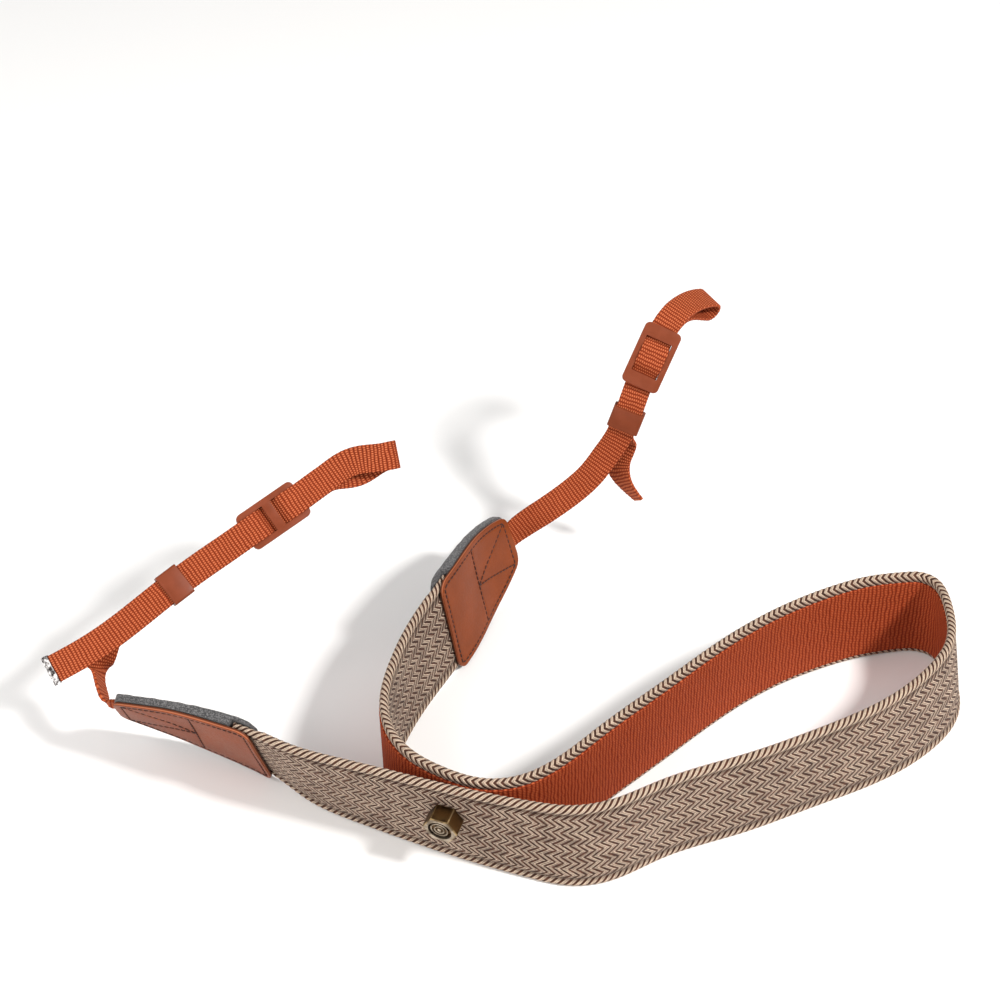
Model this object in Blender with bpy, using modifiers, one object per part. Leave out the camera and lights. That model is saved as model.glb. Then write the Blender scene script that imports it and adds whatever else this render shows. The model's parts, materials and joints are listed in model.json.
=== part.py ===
"""Camera strap with a broad cloth band, leather tabs, webbings, slide buckles, keepers and a stud.

The band stands on its edge in one open loop. From a leather tab at each end a narrow webbing rises
to a loop that goes round a lug. Every piece is cut flat, as a maker cuts it, and is then laid along
a smooth line through space. Metres, +Z up, and the origin is in the middle of the left lug loop.
"""

import math

import bmesh
import bpy
import numpy as np
from mathutils import Matrix

# Cloth band
STRAP_WIDTH = 0.040
FACE_WALL = 0.0010
LINING_WALL = 0.0010
LINING_INSET = 0.0040
HEM_WIDTH = 0.0085
LAYER_GAP = 0.0003

# Leather tabs
TAB_LENGTH = 0.0580
TAB_WIDTH = 0.0420
TAB_NECK = 0.0195
TAB_LEATHER = 0.0013
TAB_BACKING = 0.0026
TAB_BACKING_END = 0.0012
TAB_CORNER = 0.0030
TAB_WIDE_CORNER = 0.0052
BACKING_MARGIN = 0.0008
BACKING_STEP = 0.0020
STRAP_TUCK = 0.0080
WEBBING_TUCK = 0.0180

# Webbing and what is on it
WEBBING_WIDTH = 0.0100
WEBBING_WALL = 0.0012
SIDE_PLAY = 0.0003
LUG_ROOM = 0.0058
LOOP_LENGTH = 0.0260
LOOP_SKEW = 0.0012
LOOP_DROP = 0.0030
BUCKLE_LENGTH = 0.0250
BUCKLE_RAIL = 0.0022
BUCKLE_END_BAR = 0.0052
BUCKLE_CENTRE_BAR = 0.0036
BUCKLE_BAR_WALL = 0.0013
BUCKLE_BAR_PART = 0.0006
BUCKLE_CORNER = 0.0020
BUCKLE_TO_LUG = 0.0529
KEEPER_TO_BUCKLE = 0.0447
KEEPER_LENGTH = 0.0088
KEEPER_WALL = 0.0010
JOIN_TO_KEEPER = 0.0300
RIGHT_BUCKLE_TO_LUG = 0.0465
RIGHT_KEEPER_TO_BUCKLE = 0.0265
RIGHT_JOIN_TO_KEEPER = 0.0062
TIP_LENGTH = 0.0024
TIP_WALL = 0.0004

# Stud
STUD_ACROSS = 0.0114
STUD_HEIGHT = 0.0063
STUD_BEVEL = 0.0009
STUD_FACE_RADIUS = 0.0044
STUD_FACE_DEPTH = 0.0008
STUD_POST_RADIUS = 0.0016
STUD_FROM_TAB = 0.0742
STUD_ABOVE_MIDDLE = 0.0042

# Room that the whole strap takes: to the right, away, and from the ground up to the lug
LAYOUT_LENGTH = 0.3350
LAYOUT_DEPTH = 0.2300
LUG_HEIGHT = 0.0800

# Fineness of the solids
MOST_TURN = math.radians(13)
MOST_STEP = 0.0130
LINE_STEP = 0.0005
FOLD_STEPS = 4

# The band's middle line from the left tab's narrow end to the right tab's, seen from above.
# Columns: share of LAYOUT_LENGTH to the right of the origin, share of LAYOUT_DEPTH away from it,
# lean of the top towards the herringbone side in degrees, and the height by which the band is
# lifted off the ground as a share of LUG_HEIGHT.
BAND_ROUTE = (
    # right, away, lean, lift
    (-0.290, -0.333, 31, 0.088),
    (-0.212, -0.363, 27, 0.050),
    (-0.137, -0.404, 23, 0.026),
    (-0.087, -0.453, 17, 0.004),
    (-0.030, -0.492, 12, 0.000),
    (0.081, -0.556, 6, 0.000),
    (0.161, -0.593, 2, 0.000),
    (0.197, -0.603, 0, 0.000),
    (0.233, -0.596, -1, 0.000),
    (0.294, -0.550, 0, 0.000),
    (0.384, -0.496, 0, 0.000),
    (0.466, -0.440, 0, 0.000),
    (0.540, -0.382, -3, 0.000),
    (0.596, -0.313, -7, 0.000),
    (0.627, -0.243, -9, 0.000),
    (0.632, -0.174, -8, 0.000),
    (0.628, -0.134, -6, 0.000),
    (0.618, -0.102, -3, 0.000),
    (0.603, -0.089, 0, 0.000),
    (0.583, -0.089, 1, 0.000),
    (0.543, -0.100, 2, 0.000),
    (0.504, -0.121, 2, 0.000),
    (0.430, -0.180, 1, 0.000),
    (0.364, -0.257, 1, 0.000),
    (0.304, -0.341, 1, 0.000),
    (0.236, -0.436, 1, 0.000),
    (0.179, -0.515, 0, 0.000),
    (0.146, -0.543, 0, 0.000),
    (0.107, -0.549, 0, 0.000),
    (0.066, -0.526, 0, 0.000),
    (0.033, -0.492, 0, 0.000),
    (0.012, -0.450, 0, 0.000),
    (0.003, -0.383, -2, 0.000),
    (0.013, -0.302, -5, 0.006),
    (0.037, -0.211, -9, 0.019),
    (0.063, -0.135, -11, 0.028),
    (0.099, -0.024, -13, 0.027),
    (0.137, 0.089, -18, 0.024),
)

# Free stretches and doubled stretches of the webbings. Columns: shares of LAYOUT_LENGTH,
# LAYOUT_DEPTH and LUG_HEIGHT from the ground up, then the direction of the webbing's width.
LEFT_FREE_ROUTE = (
    # right, away, up, width direction
    (-0.3005, -0.3275, 0.326, (-0.12, -0.50, 0.86)),
    (-0.3067, -0.3161, 0.3525, (-0.15, -0.62, 0.77)),
    (-0.3112, -0.2970, 0.3725, (-0.15, -0.62, 0.77)),
    (-0.3142, -0.2757, 0.4038, (-0.40, 0.00, 0.915)),
    (-0.3075, -0.2626, 0.4800, (-0.47, 0.37, 0.80)),
)
LEFT_DOUBLED_ROUTE = (
    (-0.364, -0.291, 0.428, (-0.60, 0.50, 0.62)),
    (-0.315, -0.265, 0.517, (-0.54, 0.54, 0.64)),
    (-0.233, -0.175, 0.650, (-0.54, 0.54, 0.64)),
    (-0.163, -0.106, 0.759, (-0.54, 0.54, 0.64)),
    (-0.127, -0.073, 0.819, (-0.54, 0.54, 0.64)),
    (-0.091, -0.040, 0.879, (-0.54, 0.54, 0.64)),
    (-0.060, -0.014, 0.935, (-0.54, 0.54, 0.64)),
    (0.0117, 0.003, 1.013, (-0.54, 0.54, 0.64)),
)
RIGHT_FREE_ROUTE = (
    (0.176, 0.120, 0.366, (-0.52, 0.36, 0.66)),
    (0.210, 0.138, 0.454, (-0.60, 0.44, 0.52)),
    (0.234, 0.152, 0.542, (-0.70, 0.41, 0.43)),
    (0.248, 0.163, 0.618, (-0.80, 0.35, 0.42)),
)
RIGHT_DOUBLED_ROUTE = (
    (0.260, 0.173, 0.675, (-0.86, 0.25, 0.42)),
    (0.274, 0.181, 0.840, (-0.90, 0.28, 0.33)),
    (0.286, 0.198, 0.986, (-0.90, 0.28, 0.33)),
    (0.302, 0.229, 1.100, (-0.90, 0.28, 0.33)),
    (0.318, 0.261, 1.214, (-0.90, 0.28, 0.33)),
    (0.345, 0.317, 1.203, (-0.66, 0.74, 0.22)),
    (0.374, 0.364, 1.115, (-0.25, 0.95, -0.05)),
)
RIGHT_TAIL_ROUTE = (
    (0.271, 0.189, 0.650, (-0.86, 0.35, 0.15)),
    (0.265, 0.180, 0.560, (-0.83, 0.40, -0.15)),
    (0.267, 0.168, 0.494, (-0.70, 0.56, -0.30)),
    (0.276, 0.157, 0.437, (-0.50, 0.70, -0.48)),
    (0.290, 0.146, 0.380, (-0.28, 0.76, -0.58)),
)

# Finishes: colour, roughness, metallic
TWEED = ("herringbone_cloth", (0.42, 0.33, 0.25), 0.90, 0.0)
LINING = ("lining_cloth", (0.47, 0.10, 0.03), 0.85, 0.0)
LEATHER = ("tan_leather", (0.42, 0.13, 0.05), 0.50, 0.0)
FELT = ("grey_backing", (0.07, 0.07, 0.08), 0.90, 0.0)
WEBBING = ("orange_webbing", (0.50, 0.12, 0.04), 0.80, 0.0)
PLASTIC = ("moulded_plastic", (0.36, 0.11, 0.07), 0.40, 0.0)
FOIL = ("foil_tip", (0.60, 0.60, 0.60), 0.30, 0.8)
BRASS = ("antique_brass", (0.30, 0.22, 0.12), 0.35, 1.0)

HALF_STRAP = STRAP_WIDTH / 2
STRAP_THICKNESS = 2 * FACE_WALL + LINING_WALL + 2 * LAYER_GAP
FACE_LEVEL = STRAP_THICKNESS / 2 - FACE_WALL / 2
LINING_LEVEL = -STRAP_THICKNESS / 2 + LINING_WALL / 2
FOLD_RADIUS = (FACE_WALL + LAYER_GAP) / 2
HALF_STACK = WEBBING_WALL + LAYER_GAP / 2
WAVE_HEIGHT = HALF_STACK + 2 * LAYER_GAP - BUCKLE_BAR_PART
TUCKED_THICKNESS = STRAP_THICKNESS - LINING_WALL - LAYER_GAP


def unit(vectors):
    """Vectors of length one."""
    vectors = np.asarray(vectors, float)
    return vectors / np.linalg.norm(vectors, axis=-1, keepdims=True)


def smooth_step(share):
    """A share from 0 to 1, eased at both ends."""
    share = np.clip(share, 0.0, 1.0)
    return share * share * (3 - 2 * share)


def natural_spline(knots, values, wanted):
    """A natural cubic spline through values at knots, read at the wanted places."""
    values = np.asarray(values, float).reshape(len(knots), -1)
    gaps = np.diff(knots)
    slopes = np.diff(values, axis=0) / gaps[:, None]
    matrix = np.eye(len(knots))
    right = np.zeros_like(values)
    for i in range(1, len(knots) - 1):
        matrix[i, i - 1 : i + 2] = gaps[i - 1], 2 * (gaps[i - 1] + gaps[i]), gaps[i]
        right[i] = 6 * (slopes[i] - slopes[i - 1])
    bends = np.linalg.solve(matrix, right)
    span = np.clip(np.searchsorted(knots, wanted) - 1, 0, len(gaps) - 1)
    before = (wanted - knots[span])[:, None]
    after = (knots[span + 1] - wanted)[:, None]
    gap = gaps[span][:, None]
    return (
        (bends[span] * after**3 + bends[span + 1] * before**3) / (6 * gap)
        + (values[span] / gap - bends[span] * gap / 6) * after
        + (values[span + 1] / gap - bends[span + 1] * gap / 6) * before
    )


def reach_of(places):
    """The distance along a row of places, from the first."""
    return np.concatenate([[0], np.cumsum(np.linalg.norm(np.diff(places, axis=0), axis=1))])


class Line:
    """A line through space, with the direction of a band's width all along it."""

    def __init__(self, places, widths):
        self.places = np.asarray(places, float)
        self.reach = reach_of(self.places)
        self.length = self.reach[-1]
        self.along = unit(np.gradient(self.places, self.reach, axis=0))
        widths = np.asarray(widths, float)
        widths = widths - self.along * np.sum(widths * self.along, axis=1, keepdims=True)
        self.across = unit(widths)

    def read(self, table, distance):
        return np.stack([np.interp(distance, self.reach, column) for column in table.T], axis=-1)

    def at(self, distance):
        """Place and the directions along, across and out of the band at a distance."""
        along = unit(self.read(self.along, distance))
        across = unit(self.read(self.across, distance))
        beyond = distance - np.clip(distance, 0, self.length)
        place = self.read(self.places, distance) + along * np.asarray(beyond)[..., None]
        return place, along, across, np.cross(along, across)

    def stations(self, start, stop):
        """Distances from start to stop, closer together where the line or its width turns."""
        wanted = np.linspace(start, stop, max(int((stop - start) / LINE_STEP), 2))
        _, along, across, _ = self.at(wanted)
        chosen = [0]
        for i in range(1, len(wanted)):
            turn = max(
                math.acos(min(1, along[i] @ along[chosen[-1]])),
                math.acos(min(1, across[i] @ across[chosen[-1]])),
            )
            if turn > MOST_TURN or wanted[i] - wanted[chosen[-1]] > MOST_STEP:
                chosen.append(i)
        if chosen[-1] != len(wanted) - 1:
            chosen.append(len(wanted) - 1)
        return wanted[chosen]


def smooth_line(places, widths):
    """A smooth line through places, with its width direction at each."""
    knots = reach_of(np.asarray(places, float))
    wanted = np.linspace(0, knots[-1], int(knots[-1] / LINE_STEP))
    return Line(natural_spline(knots, places, wanted), natural_spline(knots, unit(widths), wanted))


def table_places(rows):
    """Places and width directions of a webbing's table."""
    size = np.array([LAYOUT_LENGTH, LAYOUT_DEPTH, LUG_HEIGHT])
    places = np.array([row[:3] for row in rows]) * size - [0, 0, LUG_HEIGHT]
    return places, unit([row[3] for row in rows])


def band_line():
    """The band's middle line, standing on the ground."""
    rows = np.array(BAND_ROUTE, float)
    plan = rows[:, :2] * [LAYOUT_LENGTH, LAYOUT_DEPTH]
    knots = reach_of(plan)
    wanted = np.linspace(0, knots[-1], int(knots[-1] / LINE_STEP))
    plan = natural_spline(knots, plan, wanted)
    lean = np.radians(natural_spline(knots, rows[:, 2], wanted)[:, 0])
    lift = natural_spline(knots, rows[:, 3], wanted)[:, 0] * LUG_HEIGHT
    foot = HALF_STRAP * np.cos(lean) + STRAP_THICKNESS / 2 * np.abs(np.sin(lean))
    places = np.column_stack([plan, lift + foot - LUG_HEIGHT])
    along = unit(np.gradient(places, axis=0))
    side = unit(np.cross(along, [0, 0, 1]))
    upright = np.cross(side, along)
    widths = upright * np.cos(lean)[:, None] + side * np.sin(lean)[:, None]
    return Line(places, widths)


def wave(distance, buckle, side):
    """How far the webbing's pair of layers stands out on its way through a buckle's bars.

    Side is 1 where the pair passes over the end bars and under the centre bar, and -1 where it
    passes the other way.
    """
    pitch = (BUCKLE_LENGTH - BUCKLE_END_BAR) / 2
    centre_flat = BUCKLE_CENTRE_BAR / 2 + 1.5 * LAYER_GAP
    end_flat = BUCKLE_END_BAR / 2 + 1.5 * LAYER_GAP
    slope = pitch - centre_flat - end_flat
    gap = np.abs(distance - buckle)
    inner = smooth_step((gap - centre_flat) / slope)
    outer = smooth_step((gap - pitch - end_flat) / (2 * slope))
    return side * WAVE_HEIGHT * (2 * inner - 1 - outer)


def doubled_path(line, start, buckle, side, layer):
    """The webbing's path out to the lug in one layer and back in the other.

    Layer is -1 where the way out lies under the way back, and 1 where it lies over it.
    """
    half_gap = (LUG_ROOM + WEBBING_WALL) / 2
    turn = line.length - half_gap - WEBBING_WALL / 2
    distance = np.linspace(start, turn, int((turn - start) / (3 * LINE_STEP)))
    middle = wave(distance, buckle, side)
    slope = np.gradient(middle, distance)
    spread = smooth_step((distance - turn + LOOP_LENGTH) / LOOP_LENGTH)
    offset = HALF_STACK - WEBBING_WALL / 2
    offset = offset + (half_gap - offset) * spread
    lean = np.stack([-slope, np.ones_like(slope)]) / np.hypot(1, slope)
    way_out = np.stack([distance, middle]) + layer * offset * lean
    way_back = np.stack([distance, middle]) - layer * offset * lean
    angles = np.linspace(-math.pi / 2, math.pi / 2, 9)[1:-1]
    bend = np.stack([turn + half_gap * np.cos(angles), -layer * half_gap * np.sin(angles)])
    path = np.concatenate([way_out, bend, way_back[:, ::-1]], axis=1)
    place, _, across, out = line.at(path[0])
    share = np.clip((distance - turn + LOOP_LENGTH) / LOOP_LENGTH, 0, 1)
    aside = np.sin(math.pi * share) ** 2 * (layer < 0)
    skew = np.concatenate([-LOOP_DROP * aside, np.zeros(bend.shape[1]), LOOP_SKEW * aside[::-1]])
    return place + out * path[1][:, None] + across * skew[:, None], across


def webbing_lines(band):
    """Each side's webbing line, its doubled stretch, and where its buckle and keeper sit."""
    found = {}
    for side, free, doubled, tail, buckle_back, keeper_back, join_back, layer in (
        ("left", LEFT_FREE_ROUTE, LEFT_DOUBLED_ROUTE, None,
         BUCKLE_TO_LUG, KEEPER_TO_BUCKLE, JOIN_TO_KEEPER, -1),
        ("right", RIGHT_FREE_ROUTE, RIGHT_DOUBLED_ROUTE, RIGHT_TAIL_ROUTE,
         RIGHT_BUCKLE_TO_LUG, RIGHT_KEEPER_TO_BUCKLE, RIGHT_JOIN_TO_KEEPER, 1),
    ):
        pair = smooth_line(*table_places(doubled))
        buckle = pair.length - buckle_back
        keeper = buckle - keeper_back
        out_places, out_widths = doubled_path(pair, keeper - join_back, buckle, -layer, layer)
        tuck = WEBBING_TUCK * np.array([1, 0.7, 0.4, 0.15, -0.05])
        if side == "right":
            tuck = band.length - tuck
        place, _, across, out = band.at(tuck)
        place = place + out * webbing_level()
        free_places, free_widths = table_places(free)
        places = [place, free_places, out_places]
        widths = [across, free_widths, out_widths]
        if tail:
            tail_places, tail_widths = table_places(tail)
            places.append(tail_places)
            widths.append(tail_widths)
        else:
            ends = np.linspace(keeper - join_back, 0, 6)[1:]
            end_place, _, end_across, end_out = pair.at(ends)
            offset = HALF_STACK - WEBBING_WALL / 2
            places.append(end_place + end_out * offset)
            widths.append(end_across)
        whole = smooth_line(np.concatenate(places), np.concatenate(widths))
        found[side] = {"line": whole, "pair": pair, "buckle": buckle, "keeper": keeper}
    return found


def webbing_level():
    """How far the webbing lies from the band's middle line inside a tab."""
    return -LAYER_GAP / 2 - LAYER_GAP - WEBBING_WALL / 2


def collection(name, hidden=False):
    """A collection of the scene."""
    made = bpy.data.collections.new(name)
    made.hide_render = hidden
    bpy.context.scene.collection.children.link(made)
    return made


def material(finish):
    """The Principled material of a finish, made once."""
    name, colour, roughness, metallic = finish
    made = bpy.data.materials.get(name)
    if made is None:
        made = bpy.data.materials.new(name)
        made.use_nodes = True
        shader = made.node_tree.nodes["Principled BSDF"]
        shader.inputs["Base Color"].default_value = (*colour, 1)
        shader.inputs["Roughness"].default_value = roughness
        shader.inputs["Metallic"].default_value = metallic
        made.diffuse_color = (*colour, 1)
    return made


def add_object(name, mesh, finish, where):
    """An object of the strap with its own finish."""
    made = bpy.data.objects.new(name, mesh)
    mesh.materials.clear()
    mesh.materials.append(material(finish))
    where.objects.link(made)
    return made


def loose_object(bm, name="work"):
    """A working object from a bmesh, which is freed."""
    mesh = bpy.data.meshes.new(name)
    bmesh.ops.recalc_face_normals(bm, faces=bm.faces)
    bm.to_mesh(mesh)
    bm.free()
    made = bpy.data.objects.new(name, mesh)
    bpy.context.scene.collection.objects.link(made)
    return made


def applied(work, cutters=()):
    """The mesh of a working object with its modifiers applied; it and its cutters go."""
    bpy.context.view_layer.update()
    graph = bpy.context.evaluated_depsgraph_get()
    mesh = bpy.data.meshes.new_from_object(work.evaluated_get(graph))
    for used in (work, *cutters):
        bpy.data.objects.remove(used)
    return mesh


def combine(work, other, operation):
    """A Boolean modifier on a working object."""
    other.display_type = "WIRE"
    other.hide_render = True
    modifier = work.modifiers.new(operation.lower(), "BOOLEAN")
    modifier.operation = operation
    modifier.object = other


def flat_cloth(distances, rows):
    """An open flat grid: x along at the distances and y across at the rows."""
    bm = bmesh.new()
    bmesh.ops.create_grid(bm, x_segments=len(distances) - 1, y_segments=len(rows) - 1, size=1)
    for vertex in bm.verts:
        column = round((vertex.co.x + 1) / 2 * (len(distances) - 1))
        row = round((vertex.co.y + 1) / 2 * (len(rows) - 1))
        vertex.co = (distances[column], rows[row], 0)
    return bm


def walled(bm, wall, offset=0.0):
    """A working object: the open sheet given a wall. Offset 0 keeps it in the middle."""
    work = loose_object(bm)
    modifier = work.modifiers.new("wall", "SOLIDIFY")
    modifier.thickness = wall
    modifier.offset = offset
    modifier.use_even_offset = True
    return work


def lay(mesh, line, start, level, shift=None):
    """Bends a flat mesh onto a line: x along, y across, z out of the band."""
    flat = np.empty(len(mesh.vertices) * 3)
    mesh.vertices.foreach_get("co", flat)
    flat = flat.reshape(-1, 3)
    place, _, across, out = line.at(start + flat[:, 0])
    rise = level + flat[:, 2]
    if shift is not None:
        rise = rise + shift(flat[:, 0])
    bent = place + across * flat[:, 1:2] + out * rise[:, None]
    mesh.vertices.foreach_set("co", bent.ravel())
    mesh.update()
    return mesh


def box(size, centre=(0, 0, 0)):
    """A working box."""
    bm = bmesh.new()
    bmesh.ops.create_cube(bm, size=1)
    bmesh.ops.scale(bm, verts=bm.verts, vec=size)
    bmesh.ops.translate(bm, verts=bm.verts, vec=centre)
    return loose_object(bm)


def disc(radius, low, high, sides, turn=0.0):
    """A working round or many-sided plate about z."""
    bm = bmesh.new()
    bmesh.ops.create_cone(
        bm, cap_ends=True, segments=sides, radius1=radius, radius2=radius, depth=high - low
    )
    bmesh.ops.rotate(bm, verts=bm.verts, matrix=Matrix.Rotation(turn, 3, "Z"))
    bmesh.ops.translate(bm, verts=bm.verts, vec=(0, 0, (low + high) / 2))
    return loose_object(bm)


def stud_hole(length):
    """The stud's hole through a flat piece of the band, as a cutter."""
    cutter = disc(STUD_POST_RADIUS + LAYER_GAP, -STRAP_THICKNESS, STRAP_THICKNESS, 16)
    cutter.location = (length, STUD_ABOVE_MIDDLE, 0)
    return cutter


def cloth_stations(band, start):
    """The same stations for each cloth of the band, from its own start to its own end."""
    tucked = TAB_LENGTH - STRAP_TUCK
    stations = band.stations(tucked + 2 * STRAP_TUCK, band.length - tucked - 2 * STRAP_TUCK)
    under_tab = tucked + STRAP_TUCK * np.linspace(0, 2, 7)[:-1]
    stations = np.concatenate([under_tab, stations, band.length - under_tab])
    return np.unique(np.clip(stations, start, band.length - start).round(7)) - start


def make_strap_face(band, where):
    """The herringbone cloth, folded round both edges to the back."""
    start = TAB_LENGTH - STRAP_TUCK
    distances = cloth_stations(band, start)
    half = HALF_STRAP - FOLD_RADIUS - FACE_WALL / 2
    fold = math.pi * FOLD_RADIUS
    rows = [-half - fold - HEM_WIDTH]
    rows += [-half - fold * (1 - i / FOLD_STEPS) for i in range(FOLD_STEPS + 1)]
    rows += [half + fold * i / FOLD_STEPS for i in range(FOLD_STEPS + 1)]
    rows.append(half + fold + HEM_WIDTH)
    bm = flat_cloth(distances, rows)
    for vertex in bm.verts:
        past = abs(vertex.co.y) - half
        if past <= 0:
            continue
        angle = min(past / FOLD_RADIUS, math.pi)
        hem = max(past - fold, 0)
        across = half + FOLD_RADIUS * math.sin(angle) - hem
        vertex.co.y = math.copysign(across, vertex.co.y)
        vertex.co.z = FOLD_RADIUS * (math.cos(angle) - 1)
    work = walled(bm, FACE_WALL)
    cutter = stud_hole(STUD_FROM_TAB + TAB_LENGTH - start)
    combine(work, cutter, "DIFFERENCE")
    mesh = lay(applied(work, [cutter]), band, start, FACE_LEVEL)
    add_object("strap_face", mesh, TWEED, where)


def make_strap_lining(band, where):
    """The ribbed band over the folded edges."""
    start = TAB_LENGTH + LAYER_GAP
    half = HALF_STRAP - LINING_INSET
    bm = flat_cloth(cloth_stations(band, start), [-half, half])
    work = walled(bm, LINING_WALL)
    cutter = stud_hole(STUD_FROM_TAB + TAB_LENGTH - start)
    combine(work, cutter, "DIFFERENCE")
    mesh = lay(applied(work, [cutter]), band, start, LINING_LEVEL)
    add_object("strap_lining", mesh, LINING, where)


def tab_half_width(distance, margin):
    """Half of the tab's width at a distance from its narrow end: a shield outline."""
    share = np.clip(distance / TAB_LENGTH, 0, 1)
    swell = math.sin(math.pi / 2 * share ** 0.75)
    half = TAB_NECK / 2 + (TAB_WIDTH - TAB_NECK) / 2 * swell
    for end, corner in ((0, TAB_CORNER), (TAB_LENGTH, TAB_WIDE_CORNER)):
        inside = corner - abs(distance - end)
        if inside > 0:
            half -= corner - math.sqrt(corner**2 - inside**2)
    return half + margin


def tab_sheet(margin):
    """A flat tab, with more columns near its rounded corners and where it rises over the strap."""
    corner = [TAB_CORNER * (1 - math.cos(math.radians(a))) for a in (0, 30, 60, 90)]
    wide_corner = [TAB_WIDE_CORNER * (1 - math.cos(math.radians(a))) for a in (0, 22.5, 45, 67.5, 90)]
    clear = TAB_LENGTH - STRAP_TUCK - LAYER_GAP
    full = WEBBING_TUCK + 2 * LAYER_GAP
    middle = list(np.linspace(TAB_CORNER, full, 5)[1:])
    middle += list(np.linspace(full, clear - BACKING_STEP, 9)[1:])
    middle.append(clear)
    middle.append((clear + TAB_LENGTH - TAB_WIDE_CORNER) / 2)
    distances = corner + middle + [TAB_LENGTH - c for c in reversed(wide_corner)]
    bm = flat_cloth(distances, [-1, -0.5, 0, 0.5, 1])
    for vertex in bm.verts:
        vertex.co.y *= tab_half_width(vertex.co.x, margin)
    return bm


def tab_rise(distance):
    """How far a tab's leather stands off: it rises slowly from the webbing's end to the strap's."""
    clear = TAB_LENGTH - STRAP_TUCK - LAYER_GAP
    full = WEBBING_TUCK + 2 * LAYER_GAP
    return smooth_step((distance - full) / (clear - full)) * (STRAP_THICKNESS + LAYER_GAP) / 2


def backing_levels(distance):
    """Where a tab's backing lies behind its leather's start: its inner face and its outer face.

    The inner face follows the leather and steps down just before the strap's end. The outer face
    comes nearer as the backing thins over the strap.
    """
    clear = TAB_LENGTH - STRAP_TUCK - LAYER_GAP
    full = WEBBING_TUCK + 2 * LAYER_GAP
    behind = TUCKED_THICKNESS - STRAP_THICKNESS / 2 + LAYER_GAP / 2
    step = smooth_step((distance - clear + BACKING_STEP) / BACKING_STEP)
    inner = behind * step - tab_rise(distance) * (1 - step)
    thins = smooth_step((distance - full) / (clear - full))
    outer = TAB_BACKING + (behind + TAB_BACKING_END - TAB_BACKING) * thins
    return inner, outer


def make_tabs(band, where):
    """A leather front and a felt backing at each end of the band."""
    for side in ("left", "right"):
        reverse = side == "right"
        line = reversed_line(band) if reverse else band
        face = -1 if reverse else 1
        work = walled(tab_sheet(0.0), TAB_LEATHER)
        level = face * (LAYER_GAP / 2 + TAB_LEATHER / 2)
        mesh = lay(applied(work), line, 0, level, lambda x: face * tab_rise(x))
        add_object(f"tab_front_{side}", mesh, LEATHER, where)
        work = walled(tab_sheet(BACKING_MARGIN), TAB_BACKING)
        depth = WEBBING_WALL + 2 * LAYER_GAP
        length = WEBBING_TUCK + LAYER_GAP
        size = (2 * length, WEBBING_WIDTH + 2 * SIDE_PLAY, 2 * depth)
        channel = box(size, (0, 0, face * TAB_BACKING / 2))
        combine(work, channel, "DIFFERENCE")
        mesh = applied(work, [channel])
        for vertex in mesh.vertices:
            inner, outer = backing_levels(vertex.co.x)
            share = 0.5 - face * vertex.co.z / TAB_BACKING
            vertex.co.z = -face * (inner + (outer - inner) * share)
        lay(mesh, line, 0, -face * LAYER_GAP / 2)
        add_object(f"tab_back_{side}", mesh, FELT, where)


def reversed_line(line):
    """The same line from its other end, with the same width direction."""
    return Line(line.places[::-1], line.across[::-1])


def make_webbings(lines, where):
    """One strip for each side, from inside the tab round the lug to its free end."""
    half = WEBBING_WIDTH / 2
    for side, found in lines.items():
        line = found["line"]
        bm = flat_cloth(line.stations(0, line.length), [-half, half])
        mesh = lay(applied(walled(bm, WEBBING_WALL)), line, 0, 0)
        add_object(f"webbing_{side}", mesh, WEBBING, where)


def plate(outlines, thickness):
    """A flat plate with holes: rounded rectangles (length, width, corner) filled and thickened."""
    curve = bpy.data.curves.new("plate", "CURVE")
    curve.dimensions = "2D"
    curve.fill_mode = "BOTH"
    curve.extrude = thickness / 2
    for length, width, corner, offset in outlines:
        points = []
        for i, (x, y) in enumerate(((1, 1), (-1, 1), (-1, -1), (1, -1))):
            for step in range(4):
                angle = math.pi / 2 * (i + step / 3)
                points.append((
                    offset + x * (length / 2 - corner) + corner * math.cos(angle),
                    y * (width / 2 - corner) + corner * math.sin(angle),
                ))
        spline = curve.splines.new("POLY")
        spline.points.add(len(points) - 1)
        for point, (x, y) in zip(spline.points, points):
            point.co = (x, y, 0, 1)
        spline.use_cyclic_u = True
    work = bpy.data.objects.new("plate", curve)
    bpy.context.scene.collection.objects.link(work)
    mesh = applied(work)
    bm = bmesh.new()
    bm.from_mesh(mesh)
    bmesh.ops.remove_doubles(bm, verts=bm.verts, dist=1e-6)
    bpy.data.meshes.remove(mesh)
    bpy.data.curves.remove(curve)
    return loose_object(bm)


def make_buckles(lines, where):
    """A slide buckle: a frame of two rails and low end bars, with a centre bar on its other side."""
    inside = WEBBING_WIDTH + 2 * SIDE_PLAY
    width = inside + 2 * BUCKLE_RAIL
    thick = 2 * (BUCKLE_BAR_WALL + BUCKLE_BAR_PART)
    window = BUCKLE_LENGTH - 2 * BUCKLE_END_BAR
    for side, found in lines.items():
        face = 1 if side == "left" else -1
        work = plate(
            [(BUCKLE_LENGTH, width, BUCKLE_CORNER, 0), (window, inside, LAYER_GAP, 0)], thick
        )
        over = 2 * BUCKLE_LENGTH
        recess = box((over, inside, thick), (0, 0, face * (thick / 2 - BUCKLE_BAR_PART)))
        middle = box(
            (BUCKLE_CENTRE_BAR, inside + BUCKLE_RAIL, BUCKLE_BAR_WALL),
            (0, 0, face * (BUCKLE_BAR_PART + BUCKLE_BAR_WALL / 2)),
        )
        combine(work, recess, "DIFFERENCE")
        combine(work, middle, "UNION")
        mesh = applied(work, [recess, middle])
        place_rigid(mesh, found["pair"], found["buckle"])
        add_object(f"buckle_{side}", mesh, PLASTIC, where)


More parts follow.
